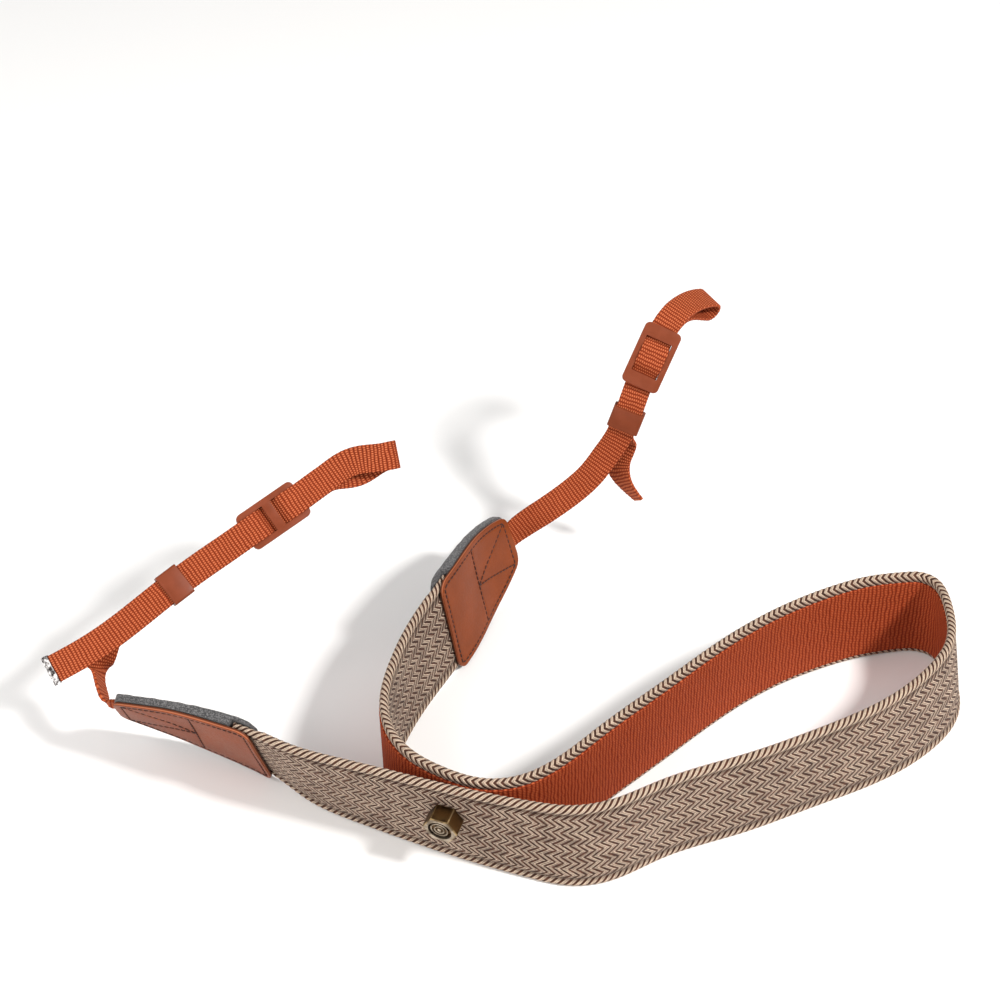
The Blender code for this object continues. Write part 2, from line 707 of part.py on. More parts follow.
def place_rigid(mesh, line, distance):
    """Puts an unbent piece on a line: x along, y across, z out."""
    place, along, across, out = line.at(np.array([distance]))
    frame = np.stack([along[0], across[0], out[0]])
    flat = np.empty(len(mesh.vertices) * 3)
    mesh.vertices.foreach_get("co", flat)
    mesh.vertices.foreach_set("co", (flat.reshape(-1, 3) @ frame + place[0]).ravel())
    mesh.update()


def make_keepers(lines, where):
    """A box keeper round both layers of the webbing."""
    inner_width = WEBBING_WIDTH + 2 * SIDE_PLAY
    inner_height = 2 * (HALF_STACK + LAYER_GAP)
    for side, found in lines.items():
        work = plate(
            [
                (inner_height + 2 * KEEPER_WALL, inner_width + 2 * KEEPER_WALL, KEEPER_WALL, 0),
                (inner_height, inner_width, LAYER_GAP, 0),
            ],
            KEEPER_LENGTH,
        )
        mesh = applied(work)
        for vertex in mesh.vertices:
            x, y, z = vertex.co
            vertex.co = (-z, y, x)
        place_rigid(mesh, found["pair"], found["keeper"])
        add_object(f"keeper_{side}", mesh, PLASTIC, where)


def make_tip(lines, where):
    """The crimped tip on the left tail."""
    found = lines["left"]
    inner = WEBBING_WALL + 2 * LAYER_GAP
    width = WEBBING_WIDTH + 2 * SIDE_PLAY
    shell = box((TIP_LENGTH, width + 2 * TIP_WALL, inner + 2 * TIP_WALL))
    pocket = box((TIP_LENGTH, width, inner), (TIP_WALL, 0, 0))
    combine(shell, pocket, "DIFFERENCE")
    mesh = applied(shell, [pocket])
    for vertex in mesh.vertices:
        vertex.co.x += TIP_LENGTH / 2 - TIP_WALL - LAYER_GAP
        vertex.co.z += HALF_STACK - WEBBING_WALL / 2
    place_rigid(mesh, found["pair"], 0)
    add_object("webbing_tip_left", mesh, FOIL, where)


def make_stud(band, where):
    """A six-sided stud and its post, which ends level with the lining."""
    front = STRAP_THICKNESS / 2 + LAYER_GAP
    head = disc(STUD_ACROSS / math.sqrt(3), front, front + STUD_HEIGHT, 6, math.radians(30))
    edge = head.modifiers.new("edge", "BEVEL")
    edge.width = STUD_BEVEL
    edge.segments = 2
    edge.limit_method = "ANGLE"
    top = front + STUD_HEIGHT
    dish = disc(STUD_FACE_RADIUS, top - STUD_FACE_DEPTH, top + STUD_HEIGHT, 24)
    combine(head, dish, "DIFFERENCE")
    post = disc(STUD_POST_RADIUS, -STRAP_THICKNESS / 2, front + STUD_HEIGHT / 2, 16)
    combine(head, post, "UNION")
    mesh = applied(head, [dish, post])
    for vertex in mesh.vertices:
        vertex.co.y += STUD_ABOVE_MIDDLE
    place_rigid(mesh, band, TAB_LENGTH + STUD_FROM_TAB)
    add_object("stud", mesh, BRASS, where)


def main():
    """Builds the strap."""
    for old in list(bpy.data.objects):
        bpy.data.objects.remove(old)
    where = collection("camera_strap")
    band = band_line()
    lines = webbing_lines(band)
    make_strap_face(band, where)
    make_strap_lining(band, where)
    make_tabs(band, where)
    make_webbings(lines, where)
    make_buckles(lines, where)
    make_keepers(lines, where)
    make_tip(lines, where)
    make_stud(band, where)


main()
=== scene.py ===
"""Camera neck strap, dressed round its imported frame.

A cloth band with rolled rims and a ribbed lining stands on its edge in one open loop. Each end has a
stitched leather tab with a felt back, a narrow woven webbing, a slide buckle and a keeper. A six-sided
bronze stud sits on the front stretch. Lengths are in metres unless a name says mm, and +Z is up.
"""

from __future__ import annotations

import json
import logging
import math
from abc import ABC, abstractmethod
from dataclasses import dataclass
from enum import Enum
from typing import Callable, Sequence

import bmesh
import bpy
import numpy as np
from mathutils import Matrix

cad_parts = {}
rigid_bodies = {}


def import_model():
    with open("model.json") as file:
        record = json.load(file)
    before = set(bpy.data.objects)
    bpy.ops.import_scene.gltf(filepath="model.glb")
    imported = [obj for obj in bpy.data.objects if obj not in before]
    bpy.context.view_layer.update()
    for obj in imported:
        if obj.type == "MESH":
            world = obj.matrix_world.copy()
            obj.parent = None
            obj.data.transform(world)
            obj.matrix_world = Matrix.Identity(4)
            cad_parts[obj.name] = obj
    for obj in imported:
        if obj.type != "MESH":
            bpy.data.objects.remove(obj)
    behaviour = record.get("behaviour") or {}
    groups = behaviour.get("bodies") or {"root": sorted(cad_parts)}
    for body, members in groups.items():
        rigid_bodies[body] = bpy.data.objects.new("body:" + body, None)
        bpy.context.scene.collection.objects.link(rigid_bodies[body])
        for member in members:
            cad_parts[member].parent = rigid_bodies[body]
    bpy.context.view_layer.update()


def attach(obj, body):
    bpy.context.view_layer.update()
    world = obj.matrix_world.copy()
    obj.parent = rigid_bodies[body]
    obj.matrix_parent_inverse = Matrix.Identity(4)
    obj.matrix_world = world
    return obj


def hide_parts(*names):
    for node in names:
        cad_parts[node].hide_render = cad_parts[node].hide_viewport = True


LOG = logging.getLogger("camera_strap")
MM = 0.001
UV_SCALE_MM = 100.0
LINE_STEP = 0.0005
MERGE_DISTANCE = 1e-6
TURN = 2 * math.pi
Array = np.ndarray


class Side(Enum):
    """The end of the strap that a piece belongs to."""

    LEFT = "left"
    RIGHT = "right"

    @property
    def outward(self) -> int:
        """1 where the tab's leather is on the line's out side, -1 where the line runs the other way."""
        return 1 if self is Side.LEFT else -1


def unit(vectors: Array) -> Array:
    """Makes vectors one long.

    Args:
        vectors: One or more vectors in the last axis.

    Returns:
        The same directions, each of length one.
    """
    vectors = np.asarray(vectors, float)
    return vectors / np.linalg.norm(vectors, axis=-1, keepdims=True)


def smooth_step(share: Array) -> Array:
    """Eases a share between 0 and 1.

    Args:
        share: Shares, which are held between 0 and 1.

    Returns:
        The eased shares.
    """
    share = np.clip(share, 0.0, 1.0)
    return share * share * (3 - 2 * share)


def reach_of(places: Array) -> Array:
    """Measures along a row of places.

    Args:
        places: The places in order.

    Returns:
        Each place's distance from the first, along the row.
    """
    return np.concatenate([[0], np.cumsum(np.linalg.norm(np.diff(places, axis=0), axis=1))])


def natural_spline(knots: Array, values: Array, wanted: Array) -> Array:
    """Reads a natural cubic spline.

    Args:
        knots: Rising positions of the values.
        values: One row of numbers for each knot.
        wanted: Positions to read.

    Returns:
        One row of numbers for each wanted position.
    """
    values = np.asarray(values, float).reshape(len(knots), -1)
    gaps = np.diff(knots)
    slopes = np.diff(values, axis=0) / gaps[:, None]
    matrix = np.eye(len(knots))
    right = np.zeros_like(values)
    for i in range(1, len(knots) - 1):
        matrix[i, i - 1 : i + 2] = gaps[i - 1], 2 * (gaps[i - 1] + gaps[i]), gaps[i]
        right[i] = 6 * (slopes[i] - slopes[i - 1])
    bends = np.linalg.solve(matrix, right)
    span = np.clip(np.searchsorted(knots, wanted) - 1, 0, len(gaps) - 1)
    before = (wanted - knots[span])[:, None]
    after = (knots[span + 1] - wanted)[:, None]
    gap = gaps[span][:, None]
    return (
        (bends[span] * after**3 + bends[span + 1] * before**3) / (6 * gap)
        + (values[span] / gap - bends[span] * gap / 6) * after
        + (values[span + 1] / gap - bends[span + 1] * gap / 6) * before
    )


class Line:
    """A line through space, with the direction of a band's width all along it."""

    def __init__(self, places: Array, widths: Array) -> None:
        """Keeps the places and squares the widths to the line.

        Args:
            places: Places along the line, close together.
            widths: The width direction at each place, roughly.
        """
        self.places = np.asarray(places, float)
        self.reach = reach_of(self.places)
        self.length = float(self.reach[-1])
        self.along = unit(np.gradient(self.places, self.reach, axis=0))
        widths = np.asarray(widths, float)
        widths = widths - self.along * np.sum(widths * self.along, axis=1, keepdims=True)
        self.across = unit(widths)

    def read(self, table: Array, distance: Array) -> Array:
        """Reads a table that goes along the line.

        Args:
            table: One row for each place of the line.
            distance: Distances along it.

        Returns:
            The rows at those distances.
        """
        return np.stack([np.interp(distance, self.reach, column) for column in table.T], axis=-1)

    def at(self, distance: Array) -> tuple[Array, Array, Array, Array]:
        """Finds the band at some distances, straight on past its ends.

        Args:
            distance: Distances along the line.

        Returns:
            Places, and the directions along, across and out of the band.
        """
        distance = np.asarray(distance, float)
        along = unit(self.read(self.along, distance))
        across = unit(self.read(self.across, distance))
        beyond = distance - np.clip(distance, 0, self.length)
        place = self.read(self.places, distance) + along * beyond[..., None]
        return place, along, across, np.cross(along, across)

    def reverse(self) -> Line:
        """Turns the line round, with the same width direction.

        Returns:
            The same line from its other end.
        """
        return Line(self.places[::-1], self.across[::-1])

    def frame_at(self, distance: float) -> tuple[Array, Array]:
        """Finds the band's place and axes at one distance.

        Args:
            distance: The distance along the line.

        Returns:
            The place, and the directions along, across and out, one a row.
        """
        place, *axes = self.at(np.array([distance]))
        return place[0], np.concatenate(axes)

    def lay(self, flat: Array, start: float, rise: Array) -> Array:
        """Bends flat points onto the line.

        Args:
            flat: Points with x along and y across.
            start: Where x = 0 lies on the line.
            rise: How far each point stands out of the band.

        Returns:
            The points in space.
        """
        place, _, across, out = self.at(start + flat[:, 0])
        return place + across * flat[:, 1:2] + out * rise[:, None]


def smooth_line(places: Array, widths: Array) -> Line:
    """Draws a smooth line through places.

    Args:
        places: Places in order.
        widths: The width direction at each.

    Returns:
        The line.
    """
    knots = reach_of(np.asarray(places, float))
    wanted = np.linspace(0, knots[-1], int(knots[-1] / LINE_STEP))
    return Line(natural_spline(knots, places, wanted), natural_spline(knots, unit(widths), wanted))


BAND_ROUTE = (
    # right, away, lean in degrees, lift: shares of the layout, as in the frame
    (-0.290, -0.333, 31, 0.088),
    (-0.212, -0.363, 27, 0.050),
    (-0.137, -0.404, 23, 0.026),
    (-0.087, -0.453, 17, 0.004),
    (-0.030, -0.492, 12, 0.000),
    (0.081, -0.556, 6, 0.000),
    (0.161, -0.593, 2, 0.000),
    (0.197, -0.603, 0, 0.000),
    (0.233, -0.596, -1, 0.000),
    (0.294, -0.550, 0, 0.000),
    (0.384, -0.496, 0, 0.000),
    (0.466, -0.440, 0, 0.000),
    (0.540, -0.382, -3, 0.000),
    (0.596, -0.313, -7, 0.000),
    (0.627, -0.243, -9, 0.000),
    (0.632, -0.174, -8, 0.000),
    (0.628, -0.134, -6, 0.000),
    (0.618, -0.102, -3, 0.000),
    (0.603, -0.089, 0, 0.000),
    (0.583, -0.089, 1, 0.000),
    (0.543, -0.100, 2, 0.000),
    (0.504, -0.121, 2, 0.000),
    (0.430, -0.180, 1, 0.000),
    (0.364, -0.257, 1, 0.000),
    (0.304, -0.341, 1, 0.000),
    (0.236, -0.436, 1, 0.000),
    (0.179, -0.515, 0, 0.000),
    (0.146, -0.543, 0, 0.000),
    (0.107, -0.549, 0, 0.000),
    (0.066, -0.526, 0, 0.000),
    (0.033, -0.492, 0, 0.000),
    (0.012, -0.450, 0, 0.000),
    (0.003, -0.383, -2, 0.000),
    (0.013, -0.302, -5, 0.006),
    (0.037, -0.211, -9, 0.019),
    (0.063, -0.135, -11, 0.028),
    (0.099, -0.024, -13, 0.027),
    (0.137, 0.089, -18, 0.024),
)
LEFT_FREE_ROUTE = (
    # right, away, up, width direction
    (-0.3005, -0.3275, 0.326, (-0.12, -0.50, 0.86)),
    (-0.3067, -0.3161, 0.3525, (-0.15, -0.62, 0.77)),
    (-0.3112, -0.2970, 0.3725, (-0.15, -0.62, 0.77)),
    (-0.3142, -0.2757, 0.4038, (-0.40, 0.00, 0.915)),
    (-0.3075, -0.2626, 0.4800, (-0.47, 0.37, 0.80)),
)
LEFT_DOUBLED_ROUTE = (
    (-0.364, -0.291, 0.428, (-0.60, 0.50, 0.62)),
    (-0.315, -0.265, 0.517, (-0.54, 0.54, 0.64)),
    (-0.233, -0.175, 0.650, (-0.54, 0.54, 0.64)),
    (-0.163, -0.106, 0.759, (-0.54, 0.54, 0.64)),
    (-0.127, -0.073, 0.819, (-0.54, 0.54, 0.64)),
    (-0.091, -0.040, 0.879, (-0.54, 0.54, 0.64)),
    (-0.060, -0.014, 0.935, (-0.54, 0.54, 0.64)),
    (0.0117, 0.003, 1.013, (-0.54, 0.54, 0.64)),
)
RIGHT_FREE_ROUTE = (
    (0.176, 0.120, 0.366, (-0.52, 0.36, 0.66)),
    (0.210, 0.138, 0.454, (-0.60, 0.44, 0.52)),
    (0.234, 0.152, 0.542, (-0.70, 0.41, 0.43)),
    (0.248, 0.163, 0.618, (-0.80, 0.35, 0.42)),
)
RIGHT_DOUBLED_ROUTE = (
    (0.260, 0.173, 0.675, (-0.86, 0.25, 0.42)),
    (0.274, 0.181, 0.840, (-0.90, 0.28, 0.33)),
    (0.286, 0.198, 0.986, (-0.90, 0.28, 0.33)),
    (0.302, 0.229, 1.100, (-0.90, 0.28, 0.33)),
    (0.318, 0.261, 1.214, (-0.90, 0.28, 0.33)),
    (0.345, 0.317, 1.203, (-0.66, 0.74, 0.22)),
    (0.374, 0.364, 1.115, (-0.25, 0.95, -0.05)),
)
RIGHT_TAIL_ROUTE = (
    (0.271, 0.189, 0.650, (-0.86, 0.35, 0.15)),
    (0.265, 0.180, 0.560, (-0.83, 0.40, -0.15)),
    (0.267, 0.168, 0.494, (-0.70, 0.56, -0.30)),
    (0.276, 0.157, 0.437, (-0.50, 0.70, -0.48)),
    (0.290, 0.146, 0.380, (-0.28, 0.76, -0.58)),
)


@dataclass(frozen=True)
class WebbingPlan:
    """Where one side's webbing runs, and where its buckle and keeper sit on it."""

    side: Side
    free: tuple
    doubled: tuple
    tail: tuple
    buckle_to_lug: float
    keeper_to_buckle: float
    join_to_keeper: float
    layer: int


@dataclass
class WebbingRun:
    """One side's webbing as it lies: its whole line, its doubled stretch and the places on it."""

    side: Side
    line: Line
    pair: Line
    buckle: float
    keeper: float


@dataclass(frozen=True)
class Layout:
    """The frame's sizes and the lines that its pieces follow."""

    length: float = 0.3350
    depth: float = 0.2300
    height: float = 0.0800
    strap_width: float = 0.0400
    strap_thickness: float = 0.0036
    gap: float = 0.0003
    tab_length: float = 0.0580
    strap_tuck: float = 0.0080
    webbing_tuck: float = 0.0180
    webbing_width: float = 0.0100
    webbing_wall: float = 0.0012
    lug_room: float = 0.0058
    loop_length: float = 0.0260
    loop_skew: float = 0.0012
    loop_drop: float = 0.0030
    buckle_length: float = 0.0250
    end_bar: float = 0.0052
    centre_bar: float = 0.0036
    bar_wall: float = 0.0013
    bar_part: float = 0.0006

    @property
    def half_stack(self) -> float:
        """Half of the doubled webbing's thickness."""
        return self.webbing_wall + self.gap / 2

    @property
    def wave_height(self) -> float:
        """How far the doubled webbing stands out over a buckle's bar."""
        return self.half_stack + 2 * self.gap - self.bar_part

    def table(self, rows: Sequence) -> tuple[Array, Array]:
        """Reads a webbing's table.

        Args:
            rows: Shares of the layout to the right, away and up, with a width direction.

        Returns:
            Places and width directions.
        """
        size = np.array([self.length, self.depth, self.height])
        places = np.array([row[:3] for row in rows]) * size - [0, 0, self.height]
        return places, unit([row[3] for row in rows])

    def band_line(self) -> Line:
        """Draws the cloth band's middle line, standing on the ground.

        Returns:
            The line, from the left tab's narrow end to the right one's.
        """
        rows = np.array(BAND_ROUTE, float)
        plan = rows[:, :2] * [self.length, self.depth]
        knots = reach_of(plan)
        wanted = np.linspace(0, knots[-1], int(knots[-1] / LINE_STEP))
        plan = natural_spline(knots, plan, wanted)
        lean = np.radians(natural_spline(knots, rows[:, 2], wanted)[:, 0])
        lift = natural_spline(knots, rows[:, 3], wanted)[:, 0] * self.height
        foot = self.strap_width / 2 * np.cos(lean)
        foot += self.strap_thickness / 2 * np.abs(np.sin(lean))
        places = np.column_stack([plan, lift + foot - self.height])
        along = unit(np.gradient(places, axis=0))
        side = unit(np.cross(along, [0, 0, 1]))
        upright = np.cross(side, along)
        return Line(places, upright * np.cos(lean)[:, None] + side * np.sin(lean)[:, None])

    def wave(self, distance: Array, buckle: float, side: int) -> Array:
        """Weaves the doubled webbing through a buckle's bars.

        Args:
            distance: Distances along the doubled stretch.
            buckle: The buckle's middle.
            side: 1 where the pair goes over the end bars, -1 where it goes under them.

        Returns:
            How far the pair's middle stands out.
        """
        pitch = (self.buckle_length - self.end_bar) / 2
        centre_flat = self.centre_bar / 2 + 1.5 * self.gap
        end_flat = self.end_bar / 2 + 1.5 * self.gap
        slope = pitch - centre_flat - end_flat
        away = np.abs(distance - buckle)
        inner = smooth_step((away - centre_flat) / slope)
        outer = smooth_step((away - pitch - end_flat) / (2 * slope))
        return side * self.wave_height * (2 * inner - 1 - outer)

    def doubled_path(self, line: Line, start: float, buckle: float, layer: int) -> tuple[Array, Array]:
        """Runs the webbing out to the lug in one layer and back in the other.

        Args:
            line: The doubled stretch's middle line.
            start: Where the way out begins on it.
            buckle: The buckle's middle.
            layer: -1 where the way out lies under the way back, 1 where it lies over it.

        Returns:
            Places and width directions.
        """
        half_gap = (self.lug_room + self.webbing_wall) / 2
        turn = line.length - half_gap - self.webbing_wall / 2
        distance = np.linspace(start, turn, int((turn - start) / (3 * LINE_STEP)))
        middle = self.wave(distance, buckle, -layer)
        slope = np.gradient(middle, distance)
        spread = smooth_step((distance - turn + self.loop_length) / self.loop_length)
        offset = self.half_stack - self.webbing_wall / 2
        offset = offset + (half_gap - offset) * spread
        lean = np.stack([-slope, np.ones_like(slope)]) / np.hypot(1, slope)
        way_out = np.stack([distance, middle]) + layer * offset * lean
        way_back = np.stack([distance, middle]) - layer * offset * lean
        angles = np.linspace(-math.pi / 2, math.pi / 2, 9)[1:-1]
        bend = np.stack([turn + half_gap * np.cos(angles), -layer * half_gap * np.sin(angles)])
        path = np.concatenate([way_out, bend, way_back[:, ::-1]], axis=1)
        place, _, across, out = line.at(path[0])
        share = np.clip((distance - turn + self.loop_length) / self.loop_length, 0, 1)
        aside = np.sin(math.pi * share) ** 2 * (layer < 0)
        skew = np.concatenate(
            [-self.loop_drop * aside, np.zeros(bend.shape[1]), self.loop_skew * aside[::-1]]
        )
        return place + out * path[1][:, None] + across * skew[:, None], across

    def webbing_run(self, plan: WebbingPlan, band: Line) -> WebbingRun:
        """Lays one side's webbing.

        Args:
            plan: The side's tables and distances.
            band: The cloth band's middle line.

        Returns:
            The webbing as it lies.
        """
        pair = smooth_line(*self.table(plan.doubled))
        buckle = pair.length - plan.buckle_to_lug
        keeper = buckle - plan.keeper_to_buckle
        join = keeper - plan.join_to_keeper
        out_places, out_widths = self.doubled_path(pair, join, buckle, plan.layer)
        tuck = self.webbing_tuck * np.array([1, 0.7, 0.4, 0.15, -0.05])
        if plan.side is Side.RIGHT:
            tuck = band.length - tuck
        place, _, across, out = band.at(tuck)
        place = place - out * (1.5 * self.gap + self.webbing_wall / 2)
        free_places, free_widths = self.table(plan.free)
        places = [place, free_places, out_places]
        widths = [across, free_widths, out_widths]
        if plan.tail:
            tail_places, tail_widths = self.table(plan.tail)
            places.append(tail_places)
            widths.append(tail_widths)
        else:
            end_place, _, end_across, end_out = pair.at(np.linspace(join, 0, 6)[1:])
            places.append(end_place + end_out * (self.half_stack - self.webbing_wall / 2))
            widths.append(end_across)
        whole = smooth_line(np.concatenate(places), np.concatenate(widths))
        return WebbingRun(plan.side, whole, pair, buckle, keeper)


WEBBING_PLANS = (
    WebbingPlan(
        Side.LEFT, LEFT_FREE_ROUTE, LEFT_DOUBLED_ROUTE, (),
        buckle_to_lug=0.0529, keeper_to_buckle=0.0447, join_to_keeper=0.0300, layer=-1,
    ),
    WebbingPlan(
        Side.RIGHT, RIGHT_FREE_ROUTE, RIGHT_DOUBLED_ROUTE, RIGHT_TAIL_ROUTE,
        buckle_to_lug=0.0465, keeper_to_buckle=0.0265, join_to_keeper=0.0062, layer=1,
    ),
)


class Graph:
    """Short ways to add and join shader nodes in one tree."""

    def __init__(self, tree: bpy.types.NodeTree) -> None:
        """Keeps the tree.

        Args:
            tree: A material's or a group's node tree.
        """
        self.tree = tree

    def feed(self, socket: bpy.types.NodeSocket, value: object) -> None:
        """Joins a socket to another, or sets it.

        Args:
            socket: The input.
            value: An output socket, a number or a colour.
        """
        if isinstance(value, bpy.types.NodeSocket):
            self.tree.links.new(value, socket)
        elif isinstance(value, (tuple, list)) and len(value) == 3 and socket.type == "RGBA":
            socket.default_value = (*value, 1.0)
        else:
            socket.default_value = value

    def add(self, kind: str, inputs: dict | None = None, **settings: object) -> bpy.types.Node:
        """Adds a node.

        Args:
            kind: Its type name without the ShaderNode prefix.
            inputs: Values or sockets by input name or number.
            settings: Properties of the node.

        Returns:
            The node.
        """
        node = self.tree.nodes.new("ShaderNode" + kind)
        for name, value in settings.items():
            setattr(node, name, value)
        for name, value in (inputs or {}).items():
            self.feed(node.inputs[name], value)
        return node

    def math(self, operation: str, *values: object) -> bpy.types.NodeSocket:
        """Adds a Math node.

        Args:
            operation: Its operation.
            values: Up to three numbers or sockets.

        Returns:
            Its output.
        """
        node = self.add("Math", dict(enumerate(values)), operation=operation)
        return node.outputs[0]

    def mix(self, share: object, first: object, second: object) -> bpy.types.NodeSocket:
        """Mixes two colours.

        Args:
            share: How much of the second.
            first: A colour or a socket.
            second: A colour or a socket.

        Returns:
            The mixed colour.
        """
        node = self.add("Mix", {0: share, 6: first, 7: second}, data_type="RGBA")
        return node.outputs[2]

    def blend(self, share: object, first: object, second: object) -> bpy.types.NodeSocket:
        """Mixes two numbers.

        Args:
            share: How much of the second.
            first: A number or a socket.
            second: A number or a socket.

        Returns:
            The mixed number.
        """
        kept = self.math("MULTIPLY", first, self.math("SUBTRACT", 1.0, share))
        return self.math("MULTIPLY_ADD", second, share, kept)

    def wave(self, phase: object) -> bpy.types.NodeSocket:
        """Makes a sine wave between 0 and 1.

        Args:
            phase: Where on the wave, 1 for each whole wave.

        Returns:
            The wave.
        """
        sine = self.math("SINE", self.math("MULTIPLY", phase, TURN))
        return self.math("MULTIPLY_ADD", sine, 0.5, 0.5)

    def ridges(self, phase: object) -> bpy.types.NodeSocket:
        """Makes a row of round ridges with sharp valleys, between 0 and 1.

        Args:
            phase: Where across them, 1 for each ridge.

        Returns:
            Their height.
        """
        return self.math("ABSOLUTE", self.math("SINE", self.math("MULTIPLY", phase, math.pi)))

    def ease(self, value: object, low: float, high: float) -> bpy.types.NodeSocket:
        """Eases a value from 0 at low to 1 at high.

        Args:
            value: The value.
            low: Where the result is 0.
            high: Where the result is 1.

        Returns:
            The eased value.
        """
        node = self.add(
            "MapRange", {0: value, 1: low, 2: high, 3: 0.0, 4: 1.0}, interpolation_type="SMOOTHSTEP"
        )
        return node.outputs[0]

    def noise(self, place: object, scale: float, detail: float = 3.0) -> bpy.types.NodeSocket:
        """Adds a Noise Texture.

        Args:
            place: Its coordinates.
            scale: Its scale.
            detail: Its detail.

        Returns:
            The noise, about 0 to 1.
        """
        node = self.add("TexNoise", {"Vector": place, "Scale": scale, "Detail": detail})
        return node.outputs["Fac"]

    def surface_mm(self) -> tuple[bpy.types.NodeSocket, bpy.types.NodeSocket]:
        """Reads the piece's own UV map.

        Returns:
            Millimetres along the piece and across it.
        """
        node = self.add("UVMap", uv_map="along_across")
        parts = self.add("SeparateXYZ", {0: node.outputs[0]})
        return (
            self.math("MULTIPLY", parts.outputs[0], UV_SCALE_MM),
            self.math("MULTIPLY", parts.outputs[1], UV_SCALE_MM),
        )

    def place_mm(self) -> bpy.types.NodeSocket:
        """Reads the object coordinates.

        Returns:
            The place in millimetres.
        """
        node = self.add("TexCoord")
        scaled = self.add(
            "VectorMath", {0: node.outputs["Object"], "Scale": 1 / MM}, operation="SCALE"
        )
        return scaled.outputs[0]


def node_group(
    name: str, inputs: Sequence[tuple[str, float]], outputs: Sequence[str],
    fill: Callable[[Graph, dict, dict], None],
) -> bpy.types.NodeTree:
    """Makes a shader group once.

    Args:
        name: Its name.
        inputs: Names and first values of its inputs, all numbers.
        outputs: Names of its outputs, all numbers.
        fill: Builds the inside from the graph, the input sockets and the output sockets.

    Returns:
        The group.
    """
    made = bpy.data.node_groups.get(name)
    if made is not None:
        return made
    made = bpy.data.node_groups.new(name, "ShaderNodeTree")
    for label, value in inputs:
        socket = made.interface.new_socket(label, in_out="INPUT", socket_type="NodeSocketFloat")
        socket.default_value = value
    for label in outputs:
        made.interface.new_socket(label, in_out="OUTPUT", socket_type="NodeSocketFloat")
    start = made.nodes.new("NodeGroupInput")
    end = made.nodes.new("NodeGroupOutput")
    fill(
        Graph(made),
        {label: start.outputs[label] for label, _ in inputs},
        {label: end.inputs[label] for label in outputs},
    )
    return made


def place_group(graph: Graph, group: bpy.types.NodeTree, values: dict) -> bpy.types.Node:
    """Places a group in a material.

    Args:
        graph: The material's graph.
        group: The group.
        values: Values or sockets by input name.

    Returns:
        The group's node.
    """
    node = graph.tree.nodes.new("ShaderNodeGroup")
    node.node_tree = group
    for name, value in values.items():
        graph.feed(node.inputs[name], value)
    return node


@dataclass(frozen=True)
class TwillMarks:
    """How the herringbone's strokes are drawn: shares of a row, or of the wave across a stroke."""

    rows_below: float = 200.5
    stripe_start: float = 0.75
    seam: tuple = (-0.08, 0.10)
    taper: tuple = (0.13, 0.0)
    taper_depth: float = 0.34
    uneven: float = -0.26
    light: tuple = (0.33, 0.64)
    split: tuple = (0.80, 0.96)
    split_depth: float = -0.68
    split_odd: float = -0.14
    # where each stroke's painted highlight rises and falls across the wave
    highlight_rise: tuple = (0.48, 0.70)
    highlight_fall: tuple = (0.95, 0.80)
    roundness: float = 0.6


def herringbone_group() -> bpy.types.NodeTree:
    """Builds the broken herringbone twill: stripes that slope the other way in each next row.

    Returns:
        The group.
    """
    marks = TwillMarks()

    def fill(graph: Graph, given: dict, out: dict) -> None:
        """Fills the group.

        Args:
            graph: The group's graph.
            given: Its input sockets by name.
            out: Its output sockets by name.
        """
        row = graph.math("ADD", graph.math("DIVIDE", given["Across"], given["Row"]), marks.rows_below)
        number = graph.math("FLOOR", row)
        part = graph.math("FRACT", row)
        odd = graph.math("MODULO", number, 2.0)
        turn = graph.math("ABSOLUTE", graph.math("SUBTRACT", odd, part))
        slope = graph.math("MULTIPLY", graph.math("MULTIPLY", turn, given["Row"]), given["Slope"])
        phase = graph.math("DIVIDE", graph.math("ADD", given["Along"], slope), given["Pitch"])
        phase = graph.math("ADD", phase, graph.math("MULTIPLY", odd, given["Break"]))
        wave = graph.wave(phase)
        stripe = graph.math("FLOOR", graph.math("ADD", phase, marks.stripe_start))
        stripe = graph.add("CombineXYZ", {0: stripe, 1: number})
        chance = graph.add("TexWhiteNoise", {"Vector": stripe.outputs[0]}, noise_dimensions="2D")
        graph.feed(out["Yarn"], chance.outputs["Value"])
        near = graph.math("MINIMUM", part, graph.math("SUBTRACT", 1.0, part))
        seam = graph.ease(near, *marks.seam)
        taper = graph.math("MULTIPLY", graph.ease(near, *marks.taper), marks.taper_depth)
        taper = graph.math("MULTIPLY_ADD", chance.outputs["Value"], marks.uneven, taper)
        light = graph.ease(graph.math("ADD", wave, taper), *marks.light)
        depth = graph.math("MULTIPLY_ADD", odd, marks.split_odd, marks.split_depth)
        split = graph.math("MULTIPLY", graph.ease(wave, *marks.split), depth)
        graph.feed(out["Light"], graph.math("ADD", light, split))
        # Painted highlight: a band near each stroke's crown, where the material lightens the yarn as if lit.
        yarn_highlight = graph.ease(wave, *marks.highlight_rise)
        yarn_highlight = graph.math("MULTIPLY", yarn_highlight, graph.ease(wave, *marks.highlight_fall))
        graph.feed(out["Highlight"], yarn_highlight)
        height = graph.math("MULTIPLY", graph.math("POWER", wave, marks.roundness), seam)
        graph.feed(out["Height"], height)

    inputs = (
        ("Along", 0.0), ("Across", 0.0), ("Row", 3.6), ("Pitch", 1.4), ("Slope", 1.0), ("Break", 0.5),
    )
    return node_group("herringbone", inputs, ("Light", "Highlight", "Yarn", "Height"), fill)


